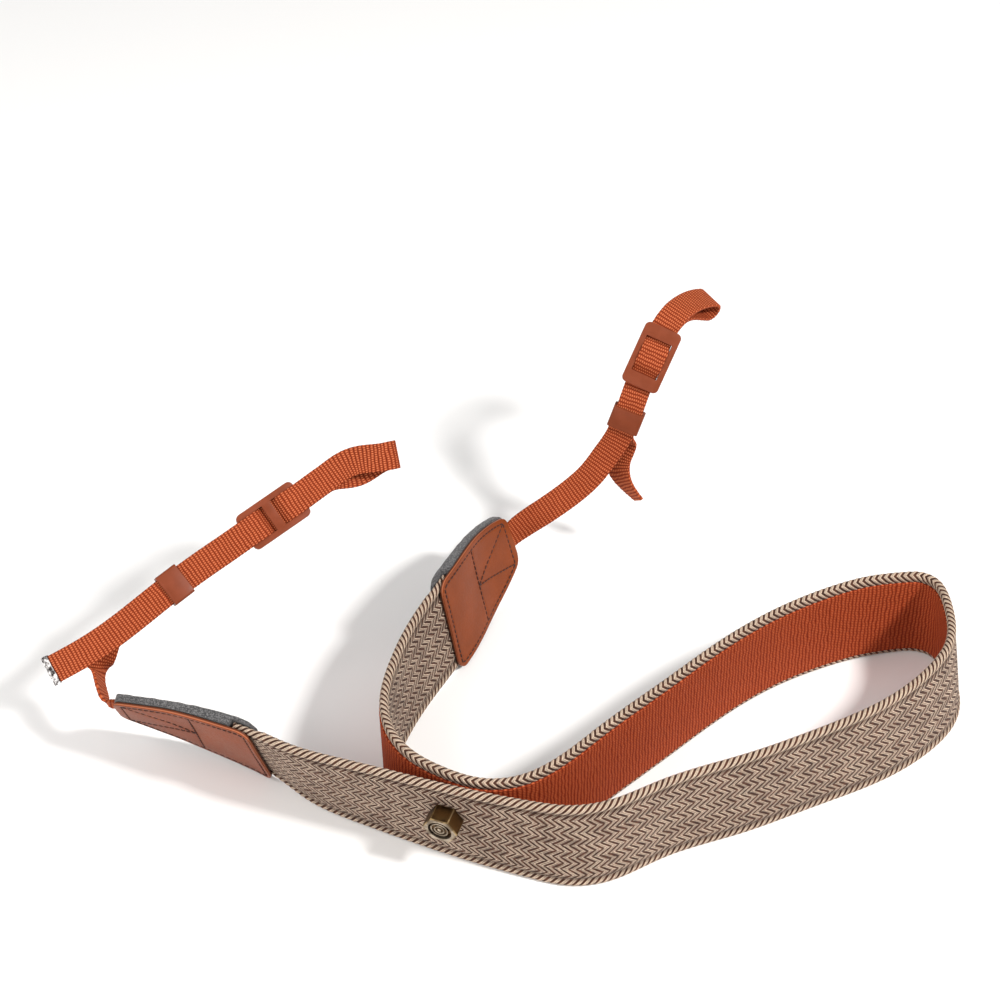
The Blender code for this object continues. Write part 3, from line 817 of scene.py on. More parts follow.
def rib_group() -> bpy.types.NodeTree:
    """Builds a ribbed weave: ribs across the band, each a row of small stitches.

    Returns:
        The group.
    """

    def fill(graph: Graph, given: dict, out: dict) -> None:
        """Fills the group.

        Args:
            graph: The group's graph.
            given: Its input sockets by name.
            out: Its output sockets by name.
        """
        rib = graph.math("DIVIDE", given["Along"], given["Pitch"])
        parity = graph.math("MODULO", graph.math("ADD", graph.math("FLOOR", rib), 1000.0), 2.0)
        ridge = graph.ridges(rib)
        stitch = graph.math("DIVIDE", given["Across"], given["Stitch"])
        stitch = graph.math("MULTIPLY_ADD", parity, 0.5, stitch)
        knot = graph.ridges(stitch)
        graph.feed(out["Ridge"], ridge)
        graph.feed(out["Knot"], knot)
        height = graph.math("MULTIPLY", graph.math("POWER", ridge, 0.7), graph.math("POWER", knot, 0.5))
        graph.feed(out["Height"], height)

    inputs = (("Along", 0.0), ("Across", 0.0), ("Pitch", 1.9), ("Stitch", 1.0))
    return node_group("ribs", inputs, ("Ridge", "Knot", "Height"), fill)


def blank_material(name: str) -> tuple[bpy.types.Material, Graph, bpy.types.Node]:
    """Starts a material.

    Args:
        name: Its name.

    Returns:
        The material, its graph and its Principled shader.
    """
    made = bpy.data.materials.new(name)
    made.use_nodes = True
    return made, Graph(made.node_tree), made.node_tree.nodes["Principled BSDF"]


def bump(graph: Graph, shader: bpy.types.Node, height: object, depth_mm: float) -> None:
    """Gives a shader its relief.

    Args:
        graph: The material's graph.
        shader: The Principled shader.
        height: Relief between 0 and 1.
        depth_mm: What 1 stands for.
    """
    node = graph.add("Bump", {"Height": height, "Strength": 1.0, "Distance": depth_mm * MM})
    graph.feed(shader.inputs["Normal"], node.outputs[0])


def scaled(colour: tuple, share: float) -> tuple:
    """Makes a colour darker or lighter.

    Args:
        colour: Red, green and blue.
        share: What each is multiplied by.

    Returns:
        The new colour.
    """
    return tuple(share * part for part in colour)


class Finish(ABC):
    """A look, whose material is made once and then shared."""

    name: str

    @abstractmethod
    def material(self) -> bpy.types.Material:
        """Makes the material.

        Returns:
            The new material.
        """

    def shared(self) -> bpy.types.Material:
        """Finds the material, or makes it.

        Returns:
            The one material of this name.
        """
        return bpy.data.materials.get(self.name) or self.material()


@dataclass(frozen=True)
class TweedFinish(Finish):
    """Cream and brown herringbone wool, with bolder slanting stripes round the rolled rims; painted
    highlights on the yarn crowns and painted shade by the rims.
    """

    name: str = "herringbone_wool"
    cream: tuple = (0.76, 0.57, 0.42)
    # painted highlight colour for the yarn crowns
    highlight_colour: tuple = (0.94, 0.77, 0.60)
    brown: tuple = (0.036, 0.014, 0.008)
    row_mm: float = 3.1
    pitch_mm: float = 2.75
    slope: float = 1.15
    rim_pitch_mm: float = 2.5
    rim_slope: float = 0.90
    rim_start_mm: float = 16.4
    rim_turn_mm: float = 22.3
    # painted shade colour for the crease at each rim's start
    groove: tuple = (0.030, 0.013, 0.008)
    wander_mm: float = 2.6
    row_break: float = 0.12
    rim_blur_mm: float = 0.3
    rim_split: tuple = (0.88, 0.99)
    rim_split_depth: float = -0.50
    rim_light: tuple = (0.28, 0.62)
    relief_mm: float = 0.34

    def material(self) -> bpy.types.Material:
        """Makes the material.

        Returns:
            The new material.
        """
        made, graph, shader = blank_material(self.name)
        along, across = graph.surface_mm()
        place = graph.place_mm()
        wander = graph.math("MULTIPLY_ADD", graph.noise(place, 0.06, 3.0), self.wander_mm, along)
        flat = place_group(graph, herringbone_group(), {
            "Along": wander, "Across": across, "Row": self.row_mm, "Pitch": self.pitch_mm,
            "Slope": self.slope, "Break": self.row_break,
        })
        from_middle = graph.math("ABSOLUTE", across)
        blur = self.rim_blur_mm
        rim = graph.ease(from_middle, self.rim_start_mm - blur, self.rim_start_mm + blur)
        fold = graph.math("SUBTRACT", from_middle, self.rim_turn_mm)
        fold = graph.math("MULTIPLY", graph.math("ABSOLUTE", fold), graph.math("SIGN", across))
        phase = graph.math("MULTIPLY_ADD", fold, self.rim_slope, along)
        wave = graph.wave(graph.math("DIVIDE", phase, self.rim_pitch_mm))
        split = graph.math("MULTIPLY", graph.ease(wave, *self.rim_split), self.rim_split_depth)
        strand = graph.math("ADD", graph.ease(wave, *self.rim_light), split)
        light = graph.blend(rim, flat.outputs["Light"], strand)
        height = graph.blend(rim, flat.outputs["Height"], wave)
        fibre = graph.noise(place, 3.2, 4.0)
        tone = graph.noise(place, 0.55, 3.0)
        # Painted highlight: the cream lightens towards the highlight colour on each yarn's crown, on the
        # face and round the rims.
        yarn_highlight = graph.blend(rim, flat.outputs["Highlight"], graph.ease(wave, 0.7, 1.0))
        shaded = scaled(self.cream, 0.50)
        cream = graph.mix(graph.math("MULTIPLY", yarn_highlight, 0.8), self.cream, self.highlight_colour)
        cream = graph.mix(graph.ease(fibre, 0.72, 0.30), cream, shaded)
        cream = graph.mix(graph.math("MULTIPLY", flat.outputs["Yarn"], 0.32), cream, shaded)
        brown = graph.mix(graph.ease(tone, 0.35, 0.75), self.brown, scaled(self.brown, 2.6))
        colour = graph.mix(graph.math("MULTIPLY", light, 0.96), brown, cream)
        # Painted shade: a soft dark band along each rim's start, where the rim meets the face and shade
        # falls.
        beside = graph.math("ABSOLUTE", graph.math("SUBTRACT", from_middle, self.rim_start_mm))
        beside = graph.math("MULTIPLY", graph.ease(beside, 1.5, 0.45), 0.50)
        colour = graph.mix(beside, colour, self.groove)
        graph.feed(shader.inputs["Base Color"], colour)
        shader.inputs["Roughness"].default_value = 0.88
        shader.inputs["Sheen Weight"].default_value = 0.06
        shader.inputs["Specular IOR Level"].default_value = 0.2
        relief = graph.math("MULTIPLY_ADD", fibre, 0.45, height)
        bump(graph, shader, relief, self.relief_mm)
        return made


@dataclass(frozen=True)
class RibbedFinish(Finish):
    """Orange ribbed cloth: the lining's fine ribs or the webbing's coarse ones, with painted shade in the
    valleys and a painted highlight on the crowns.
    """

    name: str
    colour: tuple
    shade: tuple
    highlight_colour: tuple
    pitch_mm: float
    stitch_mm: float
    depth_mm: float
    streak: float = 0.35
    wander_mm: float = 0.0

    def material(self) -> bpy.types.Material:
        """Makes the material.

        Returns:
            The new material.
        """
        made, graph, shader = blank_material(self.name)
        along, across = graph.surface_mm()
        place = graph.place_mm()
        bent = graph.math("MULTIPLY_ADD", graph.noise(place, 0.30, 2.0), self.wander_mm, along)
        weave = place_group(graph, rib_group(), {
            "Along": bent, "Across": across, "Pitch": self.pitch_mm, "Stitch": self.stitch_mm,
        })
        fibre = graph.noise(place, 4.0, 4.0)
        tone = graph.noise(place, 0.25, 2.0)
        across_rib = graph.ease(weave.outputs["Ridge"], 0.0, 0.78)
        valley = graph.math("MULTIPLY", across_rib, graph.ease(weave.outputs["Knot"], -0.15, 0.75))
        crown_highlight = graph.ease(weave.outputs["Height"], 0.80, 1.0)
        streak = graph.math("MULTIPLY", graph.ease(tone, 0.3, 0.7), self.streak)
        lit = graph.mix(graph.ease(fibre, 0.3, 0.75), scaled(self.colour, 0.78), self.colour)
        lit = graph.mix(streak, lit, scaled(self.colour, 0.72))
        # Painted highlight: the rib crowns lighten towards the highlight colour; painted shade: the valleys
        # darken towards shade.
        lit = graph.mix(graph.math("MULTIPLY", crown_highlight, 0.55), lit, self.highlight_colour)
        colour = graph.mix(valley, self.shade, lit)
        graph.feed(shader.inputs["Base Color"], colour)
        shader.inputs["Roughness"].default_value = 0.78
        shader.inputs["Specular IOR Level"].default_value = 0.12
        relief = graph.math("MULTIPLY_ADD", fibre, 0.3, weave.outputs["Height"])
        bump(graph, shader, relief, self.depth_mm)
        return made


@dataclass(frozen=True)
class LeatherFinish(Finish):
    """Saddle-tan leather: a smooth waxed face, a paler pink cut edge whose lower part is painted shade."""

    name: str = "saddle_leather"
    colour: tuple = (0.205, 0.040, 0.006)
    edge: tuple = (0.36, 0.115, 0.055)
    edge_shade: tuple = (0.10, 0.028, 0.012)

    def material(self) -> bpy.types.Material:
        """Makes the material.

        Returns:
            The new material.
        """
        made, graph, shader = blank_material(self.name)
        place = graph.place_mm()
        _, depth = graph.surface_mm()
        cloud = graph.noise(place, 0.09, 3.0)
        grain = graph.noise(place, 1.1, 5.0)
        pores = graph.noise(place, 5.0, 2.0)
        colour = graph.mix(graph.ease(cloud, 0.30, 0.72), scaled(self.colour, 0.84), self.colour)
        colour = graph.mix(graph.math("MULTIPLY", graph.ease(grain, 0.45, 0.8), 0.18), colour, self.edge)
        colour = graph.mix(graph.ease(depth, 0.08, 0.25), colour, self.edge)
        # Painted shade: the lower part of the cut edge darkens, standing in for the shadow in the gap to the
        # felt.
        colour = graph.mix(graph.ease(depth, 0.40, 0.62), colour, self.edge_shade)
        graph.feed(shader.inputs["Base Color"], colour)
        graph.feed(
            shader.inputs["Roughness"], graph.math("MULTIPLY_ADD", graph.ease(grain, 0.2, 0.8), 0.16, 0.36)
        )
        shader.inputs["Specular IOR Level"].default_value = 0.08
        shader.inputs["Sheen Weight"].default_value = 0.24
        shader.inputs["Sheen Roughness"].default_value = 0.25
        relief = graph.math("MULTIPLY_ADD", grain, 0.7, graph.math("MULTIPLY", pores, 0.3))
        bump(graph, shader, relief, 0.07)
        return made


@dataclass(frozen=True)
class FeltFinish(Finish):
    """Dark grey pressed felt with pale flecks."""

    name: str = "grey_felt"
    dark: tuple = (0.032, 0.031, 0.032)
    pale: tuple = (0.17, 0.165, 0.165)

    def material(self) -> bpy.types.Material:
        """Makes the material.

        Returns:
            The new material.
        """
        made, graph, shader = blank_material(self.name)
        place = graph.place_mm()
        fleck = graph.noise(place, 1.8, 5.0)
        hair = graph.noise(place, 6.0, 3.0)
        colour = graph.mix(graph.ease(fleck, 0.38, 0.72), self.dark, self.pale)
        graph.feed(shader.inputs["Base Color"], colour)
        shader.inputs["Roughness"].default_value = 0.95
        shader.inputs["Sheen Weight"].default_value = 0.15
        bump(graph, shader, graph.math("ADD", fleck, hair), 0.16)
        return made


@dataclass(frozen=True)
class PlasticFinish(Finish):
    """Moulded terracotta plastic with a fine spark texture and rubbed patches."""

    name: str = "terracotta_plastic"
    colour: tuple = (0.20, 0.043, 0.016)

    def material(self) -> bpy.types.Material:
        """Makes the material.

        Returns:
            The new material.
        """
        made, graph, shader = blank_material(self.name)
        place = graph.place_mm()
        cloud = graph.noise(place, 0.20, 3.0)
        spark = graph.noise(place, 7.0, 2.0)
        colour = graph.mix(graph.ease(cloud, 0.3, 0.75), scaled(self.colour, 0.86), self.colour)
        graph.feed(shader.inputs["Base Color"], colour)
        graph.feed(
            shader.inputs["Roughness"], graph.math("MULTIPLY_ADD", graph.ease(cloud, 0.3, 0.7), 0.14, 0.34)
        )
        shader.inputs["Specular IOR Level"].default_value = 0.16
        bump(graph, shader, spark, 0.02)
        return made


@dataclass(frozen=True)
class MetalFinish(Finish):
    """A metal with dark oxide in patches, or crinkled foil whose near-black patches are painted reflections.
    """

    name: str
    colour: tuple
    dark: tuple
    roughness: float
    patch: float
    depth_mm: float
    metallic: float = 1.0

    def material(self) -> bpy.types.Material:
        """Makes the material.

        Returns:
            The new material.
        """
        made, graph, shader = blank_material(self.name)
        place = graph.place_mm()
        # Dark patches from noise: real patina on the bronze, painted reflections on the crinkled foil.
        patina_and_reflection = graph.noise(place, self.patch, 4.0)
        scratch = graph.noise(place, self.patch * 6, 3.0)
        graph.feed(
            shader.inputs["Base Color"], graph.mix(graph.ease(patina_and_reflection, 0.38, 0.62), self.dark, self.colour)
        )
        graph.feed(
            shader.inputs["Roughness"],
            graph.math("MULTIPLY_ADD", graph.ease(patina_and_reflection, 0.7, 0.3), 0.2, self.roughness),
        )
        shader.inputs["Metallic"].default_value = self.metallic
        bump(graph, shader, graph.math("MULTIPLY_ADD", scratch, 0.4, patina_and_reflection), self.depth_mm)
        return made


PATINA = MetalFinish(
    "bronze_patina", colour=(0.15, 0.080, 0.028), dark=(0.020, 0.010, 0.006),
    roughness=0.34, patch=0.16, depth_mm=0.02,
)
WORN_EDGE = MetalFinish(
    "bronze_worn_edge", colour=(0.36, 0.25, 0.115), dark=(0.12, 0.078, 0.038),
    roughness=0.32, patch=0.30, depth_mm=0.02,
)
PALE_FACE = MetalFinish(
    "bronze_face", colour=(0.40, 0.33, 0.25), dark=(0.18, 0.14, 0.10),
    roughness=0.36, patch=0.30, depth_mm=0.02,
)
# Painted reflection: the foil's near-black patches stand in for its crinkles reflecting dark surroundings.
CRINKLED_FOIL = MetalFinish(
    "crinkled_foil", colour=(0.50, 0.48, 0.47), dark=(0.025, 0.02, 0.02),
    roughness=0.24, patch=0.90, depth_mm=0.12, metallic=0.9,
)


@dataclass(frozen=True)
class ThreadFinish(Finish):
    """Twisted sewing thread."""

    name: str = "dark_thread"
    colour: tuple = (0.052, 0.011, 0.006)

    def material(self) -> bpy.types.Material:
        """Makes the material.

        Returns:
            The new material.
        """
        made, graph, shader = blank_material(self.name)
        place = graph.place_mm()
        twist = graph.noise(place, 3.0, 3.0)
        colour = graph.mix(graph.ease(twist, 0.3, 0.7), scaled(self.colour, 0.5), self.colour)
        graph.feed(shader.inputs["Base Color"], colour)
        shader.inputs["Roughness"].default_value = 0.7
        bump(graph, shader, twist, 0.05)
        return made


def deselect() -> None:
    """Deselects every object, the frame's nodes too."""
    for thing in bpy.context.view_layer.objects:
        thing.select_set(False)


def take(piece: bpy.types.Object) -> bpy.types.Object:
    """Makes a piece the one selected and active object.

    Args:
        piece: The piece.

    Returns:
        The same piece.
    """
    deselect()
    piece.select_set(True)
    bpy.context.view_layer.objects.active = piece
    return piece


def apply_modifiers(piece: bpy.types.Object) -> bpy.types.Object:
    """Applies all modifiers of a piece, in order.

    Args:
        piece: The piece.

    Returns:
        The same piece.
    """
    take(piece)
    for modifier in list(piece.modifiers):
        bpy.ops.object.modifier_apply(modifier=modifier.name)
    return piece


def points_of(piece: bpy.types.Object) -> Array:
    """Reads a piece's points.

    Args:
        piece: The piece.

    Returns:
        One row for each point.
    """
    points = np.empty(len(piece.data.vertices) * 3)
    piece.data.vertices.foreach_get("co", points)
    return points.reshape(-1, 3)


def move_points(piece: bpy.types.Object, points: Array) -> None:
    """Moves a piece's points.

    Args:
        piece: The piece.
        points: A place for each of its points.
    """
    piece.data.vertices.foreach_set("co", np.ascontiguousarray(points).ravel())
    piece.data.update()


def face_outwards(piece: bpy.types.Object) -> None:
    """Merges a closed piece's doubles and turns its faces outwards.

    Args:
        piece: The piece.
    """
    mesh = bmesh.new()
    mesh.from_mesh(piece.data)
    bmesh.ops.remove_doubles(mesh, verts=mesh.verts, dist=MERGE_DISTANCE)
    bmesh.ops.recalc_face_normals(mesh, faces=mesh.faces)
    mesh.to_mesh(piece.data)
    mesh.free()


def add_object(name: str, data: bpy.types.ID) -> bpy.types.Object:
    """Puts a mesh, a light or a camera in the scene.

    Args:
        name: The object's name.
        data: What it shows.

    Returns:
        The object.
    """
    made = bpy.data.objects.new(name, data)
    bpy.context.scene.collection.objects.link(made)
    return made


def add_bevel(piece: bpy.types.Object, width: float, segments: int, degrees: float) -> bpy.types.Modifier:
    """Gives a piece a bevel on its sharp edges.

    Args:
        piece: The piece.
        width: How far the edges are rounded.
        segments: Faces in each rounding.
        degrees: The least angle of a sharp edge.

    Returns:
        The modifier, not applied yet.
    """
    edge = piece.modifiers.new("edge", "BEVEL")
    edge.width = width
    edge.segments = segments
    edge.limit_method = "ANGLE"
    edge.angle_limit = math.radians(degrees)
    return edge


def combine(piece: bpy.types.Object, tool: bpy.types.Object, operation: str) -> None:
    """Joins or cuts a piece with another, which goes.

    Args:
        piece: The piece.
        tool: The other.
        operation: UNION or DIFFERENCE.
    """
    modifier = piece.modifiers.new(operation.lower(), "BOOLEAN")
    modifier.operation = operation
    modifier.object = tool
    apply_modifiers(piece)
    bpy.data.objects.remove(tool)


def ring_mesh(name: str, rings: Array, across_mm: Array, along_mm: Array) -> bpy.types.Object:
    """Skins a row of closed rings and caps its ends.

    Args:
        name: The object's name.
        rings: Points by ring, by point round it, by coordinate.
        across_mm: The across coordinate at each point round, with one more to close.
        along_mm: The along coordinate of each ring.

    Returns:
        The object.
    """
    count, around = rings.shape[:2]
    row = np.arange(count - 1)[:, None] * around
    step = np.arange(around)[None, :]
    following = (step + 1) % around
    quads = np.stack(
        [row + step, row + following, row + around + following, row + around + step], axis=-1
    ).reshape(-1, 4)
    first = list(range(around))[::-1]
    last = list(range((count - 1) * around, count * around))
    mesh = bpy.data.meshes.new(name)
    mesh.from_pydata(rings.reshape(-1, 3).tolist(), [], [*quads.tolist(), first, last])
    u = np.broadcast_to(along_mm[:-1, None], (count - 1, around))
    after = np.broadcast_to(along_mm[1:, None], (count - 1, around))
    v = np.broadcast_to(across_mm[None, :-1], (count - 1, around))
    beside = np.broadcast_to(across_mm[None, 1:], (count - 1, around))
    corners = np.stack([np.stack([u, v], -1), np.stack([u, beside], -1),
                        np.stack([after, beside], -1), np.stack([after, v], -1)], axis=2)
    ends = [np.stack([np.full(around, along_mm[0]), across_mm[:-1][::-1]], -1),
            np.stack([np.full(around, along_mm[-1]), across_mm[:-1]], -1)]
    layer = mesh.uv_layers.new(name="along_across")
    flat = np.concatenate([corners.reshape(-1, 2), *ends]) / UV_SCALE_MM
    layer.data.foreach_set("uv", flat.ravel())
    mesh.update()
    a, b, c = rings[:-1], rings[1:], np.roll(rings, -1, axis=1)[:-1]
    if np.einsum("ijk,ijk->", np.cross(c - a, b - a), a - rings.mean(axis=(0, 1))) < 0:
        mesh.flip_normals()
    mesh.shade_smooth()
    mesh.set_sharp_from_angle(angle=math.radians(50))
    return add_object(name, mesh)


def sweep(
    name: str, line: Line, distance: Array, section: tuple[Array, Array], across_mm: Array
) -> bpy.types.Object:
    """Sweeps a closed section along a line.

    Args:
        name: The object's name.
        line: The line.
        distance: Where its rings lie.
        section: How far each ring's points lie across the band and out of it.
        across_mm: The across coordinate at each point round, with one more to close.

    Returns:
        The object.
    """
    place, _, wide, out = line.at(distance)
    side, rise = section
    rings = place[:, None] + wide[:, None] * side[..., None] + out[:, None] * rise[..., None]
    return ring_mesh(name, rings, across_mm, distance / MM)


def smooth(piece: bpy.types.Object, degrees: float) -> None:
    """Shades a piece smooth up to an angle.

    Args:
        piece: The piece.
        degrees: The least angle of a sharp edge.
    """
    take(piece)
    bpy.ops.object.shade_smooth_by_angle(angle=math.radians(degrees))


def set_on(
    piece: bpy.types.Object, line: Line, distance: float, degrees: float, aside: float = 0.0
) -> None:
    """Puts an unbent piece on a line and shades it.

    Args:
        piece: The piece, x along, y across, z out.
        line: The line.
        distance: Where on the line.
        degrees: The least angle of a sharp edge.
        aside: How far across the band.
    """
    place, axes = line.frame_at(distance)
    move_points(piece, points_of(piece) @ axes + place + axes[1] * aside)
    face_outwards(piece)
    smooth(piece, degrees)


def dress(
    piece: bpy.types.Object, finish: Finish | None, nodes: Sequence[str] = ()
) -> bpy.types.Object:
    """Gives a finished piece its material and its place in the frame.

    Args:
        piece: The piece.
        finish: Its finish, or None where it has its materials already.
        nodes: The frame's nodes that it stands for.

    Returns:
        The piece.
    """
    if finish is not None:
        piece.data.materials.clear()
        piece.data.materials.append(finish.shared())
    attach(piece, "root")
    if nodes:
        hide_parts(*nodes)
    LOG.info("%s: %d faces", piece.name, len(piece.data.polygons))
    return piece


@dataclass
class ClothBand:
    """The herringbone band with its rolled rims, and the ribbed lining sewn to its back."""

    layout: Layout
    line: Line
    step: float = 0.0004
    rope_height: float = 0.00010
    rope_pitch_mm: float = TweedFinish.rim_pitch_mm
    rope_slope: float = TweedFinish.rim_slope
    rope_start_mm: float = TweedFinish.rim_start_mm
    rope_end_mm: float = 26.0
    rope_middle_mm: tuple = (18.2, 0.15)
    tab_room: float = 0.42
    lining_top_mm: float = 16.1
    lining_low_mm: float = 17.6
    lining_front_mm: float = -0.84
    lining_back_mm: float = -1.74
    lining_pitch_mm: float = 1.60
    lining_relief: float = 0.00007
    lining_step: float = 0.00022
    half_section_mm: tuple = (
        # across, out
        (0.0, 1.58), (3.0, 1.59), (6.0, 1.58), (9.0, 1.56), (12.0, 1.52), (14.0, 1.46), (15.2, 1.36),
        (15.9, 1.14), (16.35, 0.98), (16.8, 1.16), (17.3, 1.50), (17.9, 1.72), (18.5, 1.74),
        (19.1, 1.55), (19.6, 1.15), (19.85, 0.65), (19.9, 0.10), (19.8, -0.45), (19.45, -0.98),
        (18.9, -1.34), (18.2, -1.48), (17.5, -1.38), (16.9, -1.12), (16.4, -0.86), (15.0, -0.82),
        (8.0, -0.82), (0.0, -0.82),
    )

    def section(self) -> tuple[Array, Array]:
        """Closes the half section into a whole one.

        Returns:
            Points round the section in millimetres, and the cloth's across coordinate at each,
            with one more to close.
        """
        half = np.array(self.half_section_mm)
        reach = reach_of(half)
        whole = np.concatenate([half, half[-2:0:-1] * [-1, 1]])
        across = np.concatenate([reach, -reach[-2:0:-1], [0.0]])
        return whole, across

    def build_cloth(self) -> bpy.types.Object:
        """Sweeps the cloth along the band, with the rims' strands as a faint twist.

        Returns:
            The cloth.
        """
        section, across = self.section()
        start = self.layout.tab_length - self.layout.strap_tuck
        distance = np.arange(start, self.line.length - start, self.step)
        from_tab = np.minimum(distance, self.line.length - distance) - self.layout.tab_length
        room = self.tab_room + (1 - self.tab_room) * smooth_step((from_tab - 0.0004) / 0.004)
        rise = np.broadcast_to(section[:, 1] * MM, (len(distance), len(section)))
        rise = np.where(rise < 0, rise * room[:, None], rise)
        side = np.broadcast_to(section[:, 0] * MM, rise.shape)
        from_middle = np.abs(across[:-1])
        rim = smooth_step((from_middle - self.rope_start_mm) / 1.2)
        rim = rim * smooth_step((self.rope_end_mm - from_middle) / 1.5)
        fold = np.abs(from_middle - TweedFinish.rim_turn_mm) * np.sign(across[:-1])
        phase = distance[:, None] / MM + fold[None] * self.rope_slope
        rope = np.sin(TURN * phase / self.rope_pitch_mm) * self.rope_height * rim
        middle = np.array(self.rope_middle_mm) * MM
        away = np.stack([np.abs(side) - middle[0], rise - middle[1]])
        away = away / np.maximum(np.linalg.norm(away, axis=0), MERGE_DISTANCE)
        side = side + np.sign(side) * away[0] * rope
        rise = rise + away[1] * rope
        return sweep("strap_cloth", self.line, distance, (side, rise), across)

    def build_lining(self) -> bpy.types.Object:
        """Sweeps the lining, with its ribs as a fine relief.

        Returns:
            The lining.
        """
        start = self.layout.tab_length + self.layout.gap
        distance = np.arange(start, self.line.length - start, self.lining_step)
        top, low = self.lining_top_mm, self.lining_low_mm
        front, behind = self.lining_front_mm, self.lining_back_mm
        back = [(x, behind) for x in np.linspace(0.5 - low, top - 0.5, 9)]
        edge = [(top - 0.12, behind + 0.04), (top, behind + 0.25), (top, front - 0.15), (top - 0.2, front)]
        lip = [(1.3 - low, front), (-low, behind + 0.24), (-low, behind + 0.14), (0.12 - low, behind + 0.04)]
        section = np.array([*back, *edge, *lip])
        across = np.concatenate([section[:, 0], section[:1, 0]])
        ribbed = (section[:, 1] < behind + 0.1).astype(float)
        rib = np.abs(np.sin(math.pi * distance / MM / self.lining_pitch_mm))
        rise = section[None, :, 1] * MM - (rib[:, None] - 0.6) * self.lining_relief * ribbed[None, :]
        side = np.broadcast_to(section[:, 0] * MM, rise.shape)
        return sweep("strap_lining_ribbed", self.line, distance, (side, rise), across)

    def build(self) -> None:
        """Builds and dresses both cloths."""
        dress(self.build_cloth(), TweedFinish(), ["strap_face"])
        # Colours: the lining's own, its painted valley shade, its painted crown highlight.
        lining = RibbedFinish(
            "orange_lining", (0.44, 0.074, 0.021), (0.14, 0.013, 0.003), (0.62, 0.17, 0.070),
            self.lining_pitch_mm, 0.85, 0.16, wander_mm=1.6,
        )
        dress(self.build_lining(), lining, ["strap_lining"])


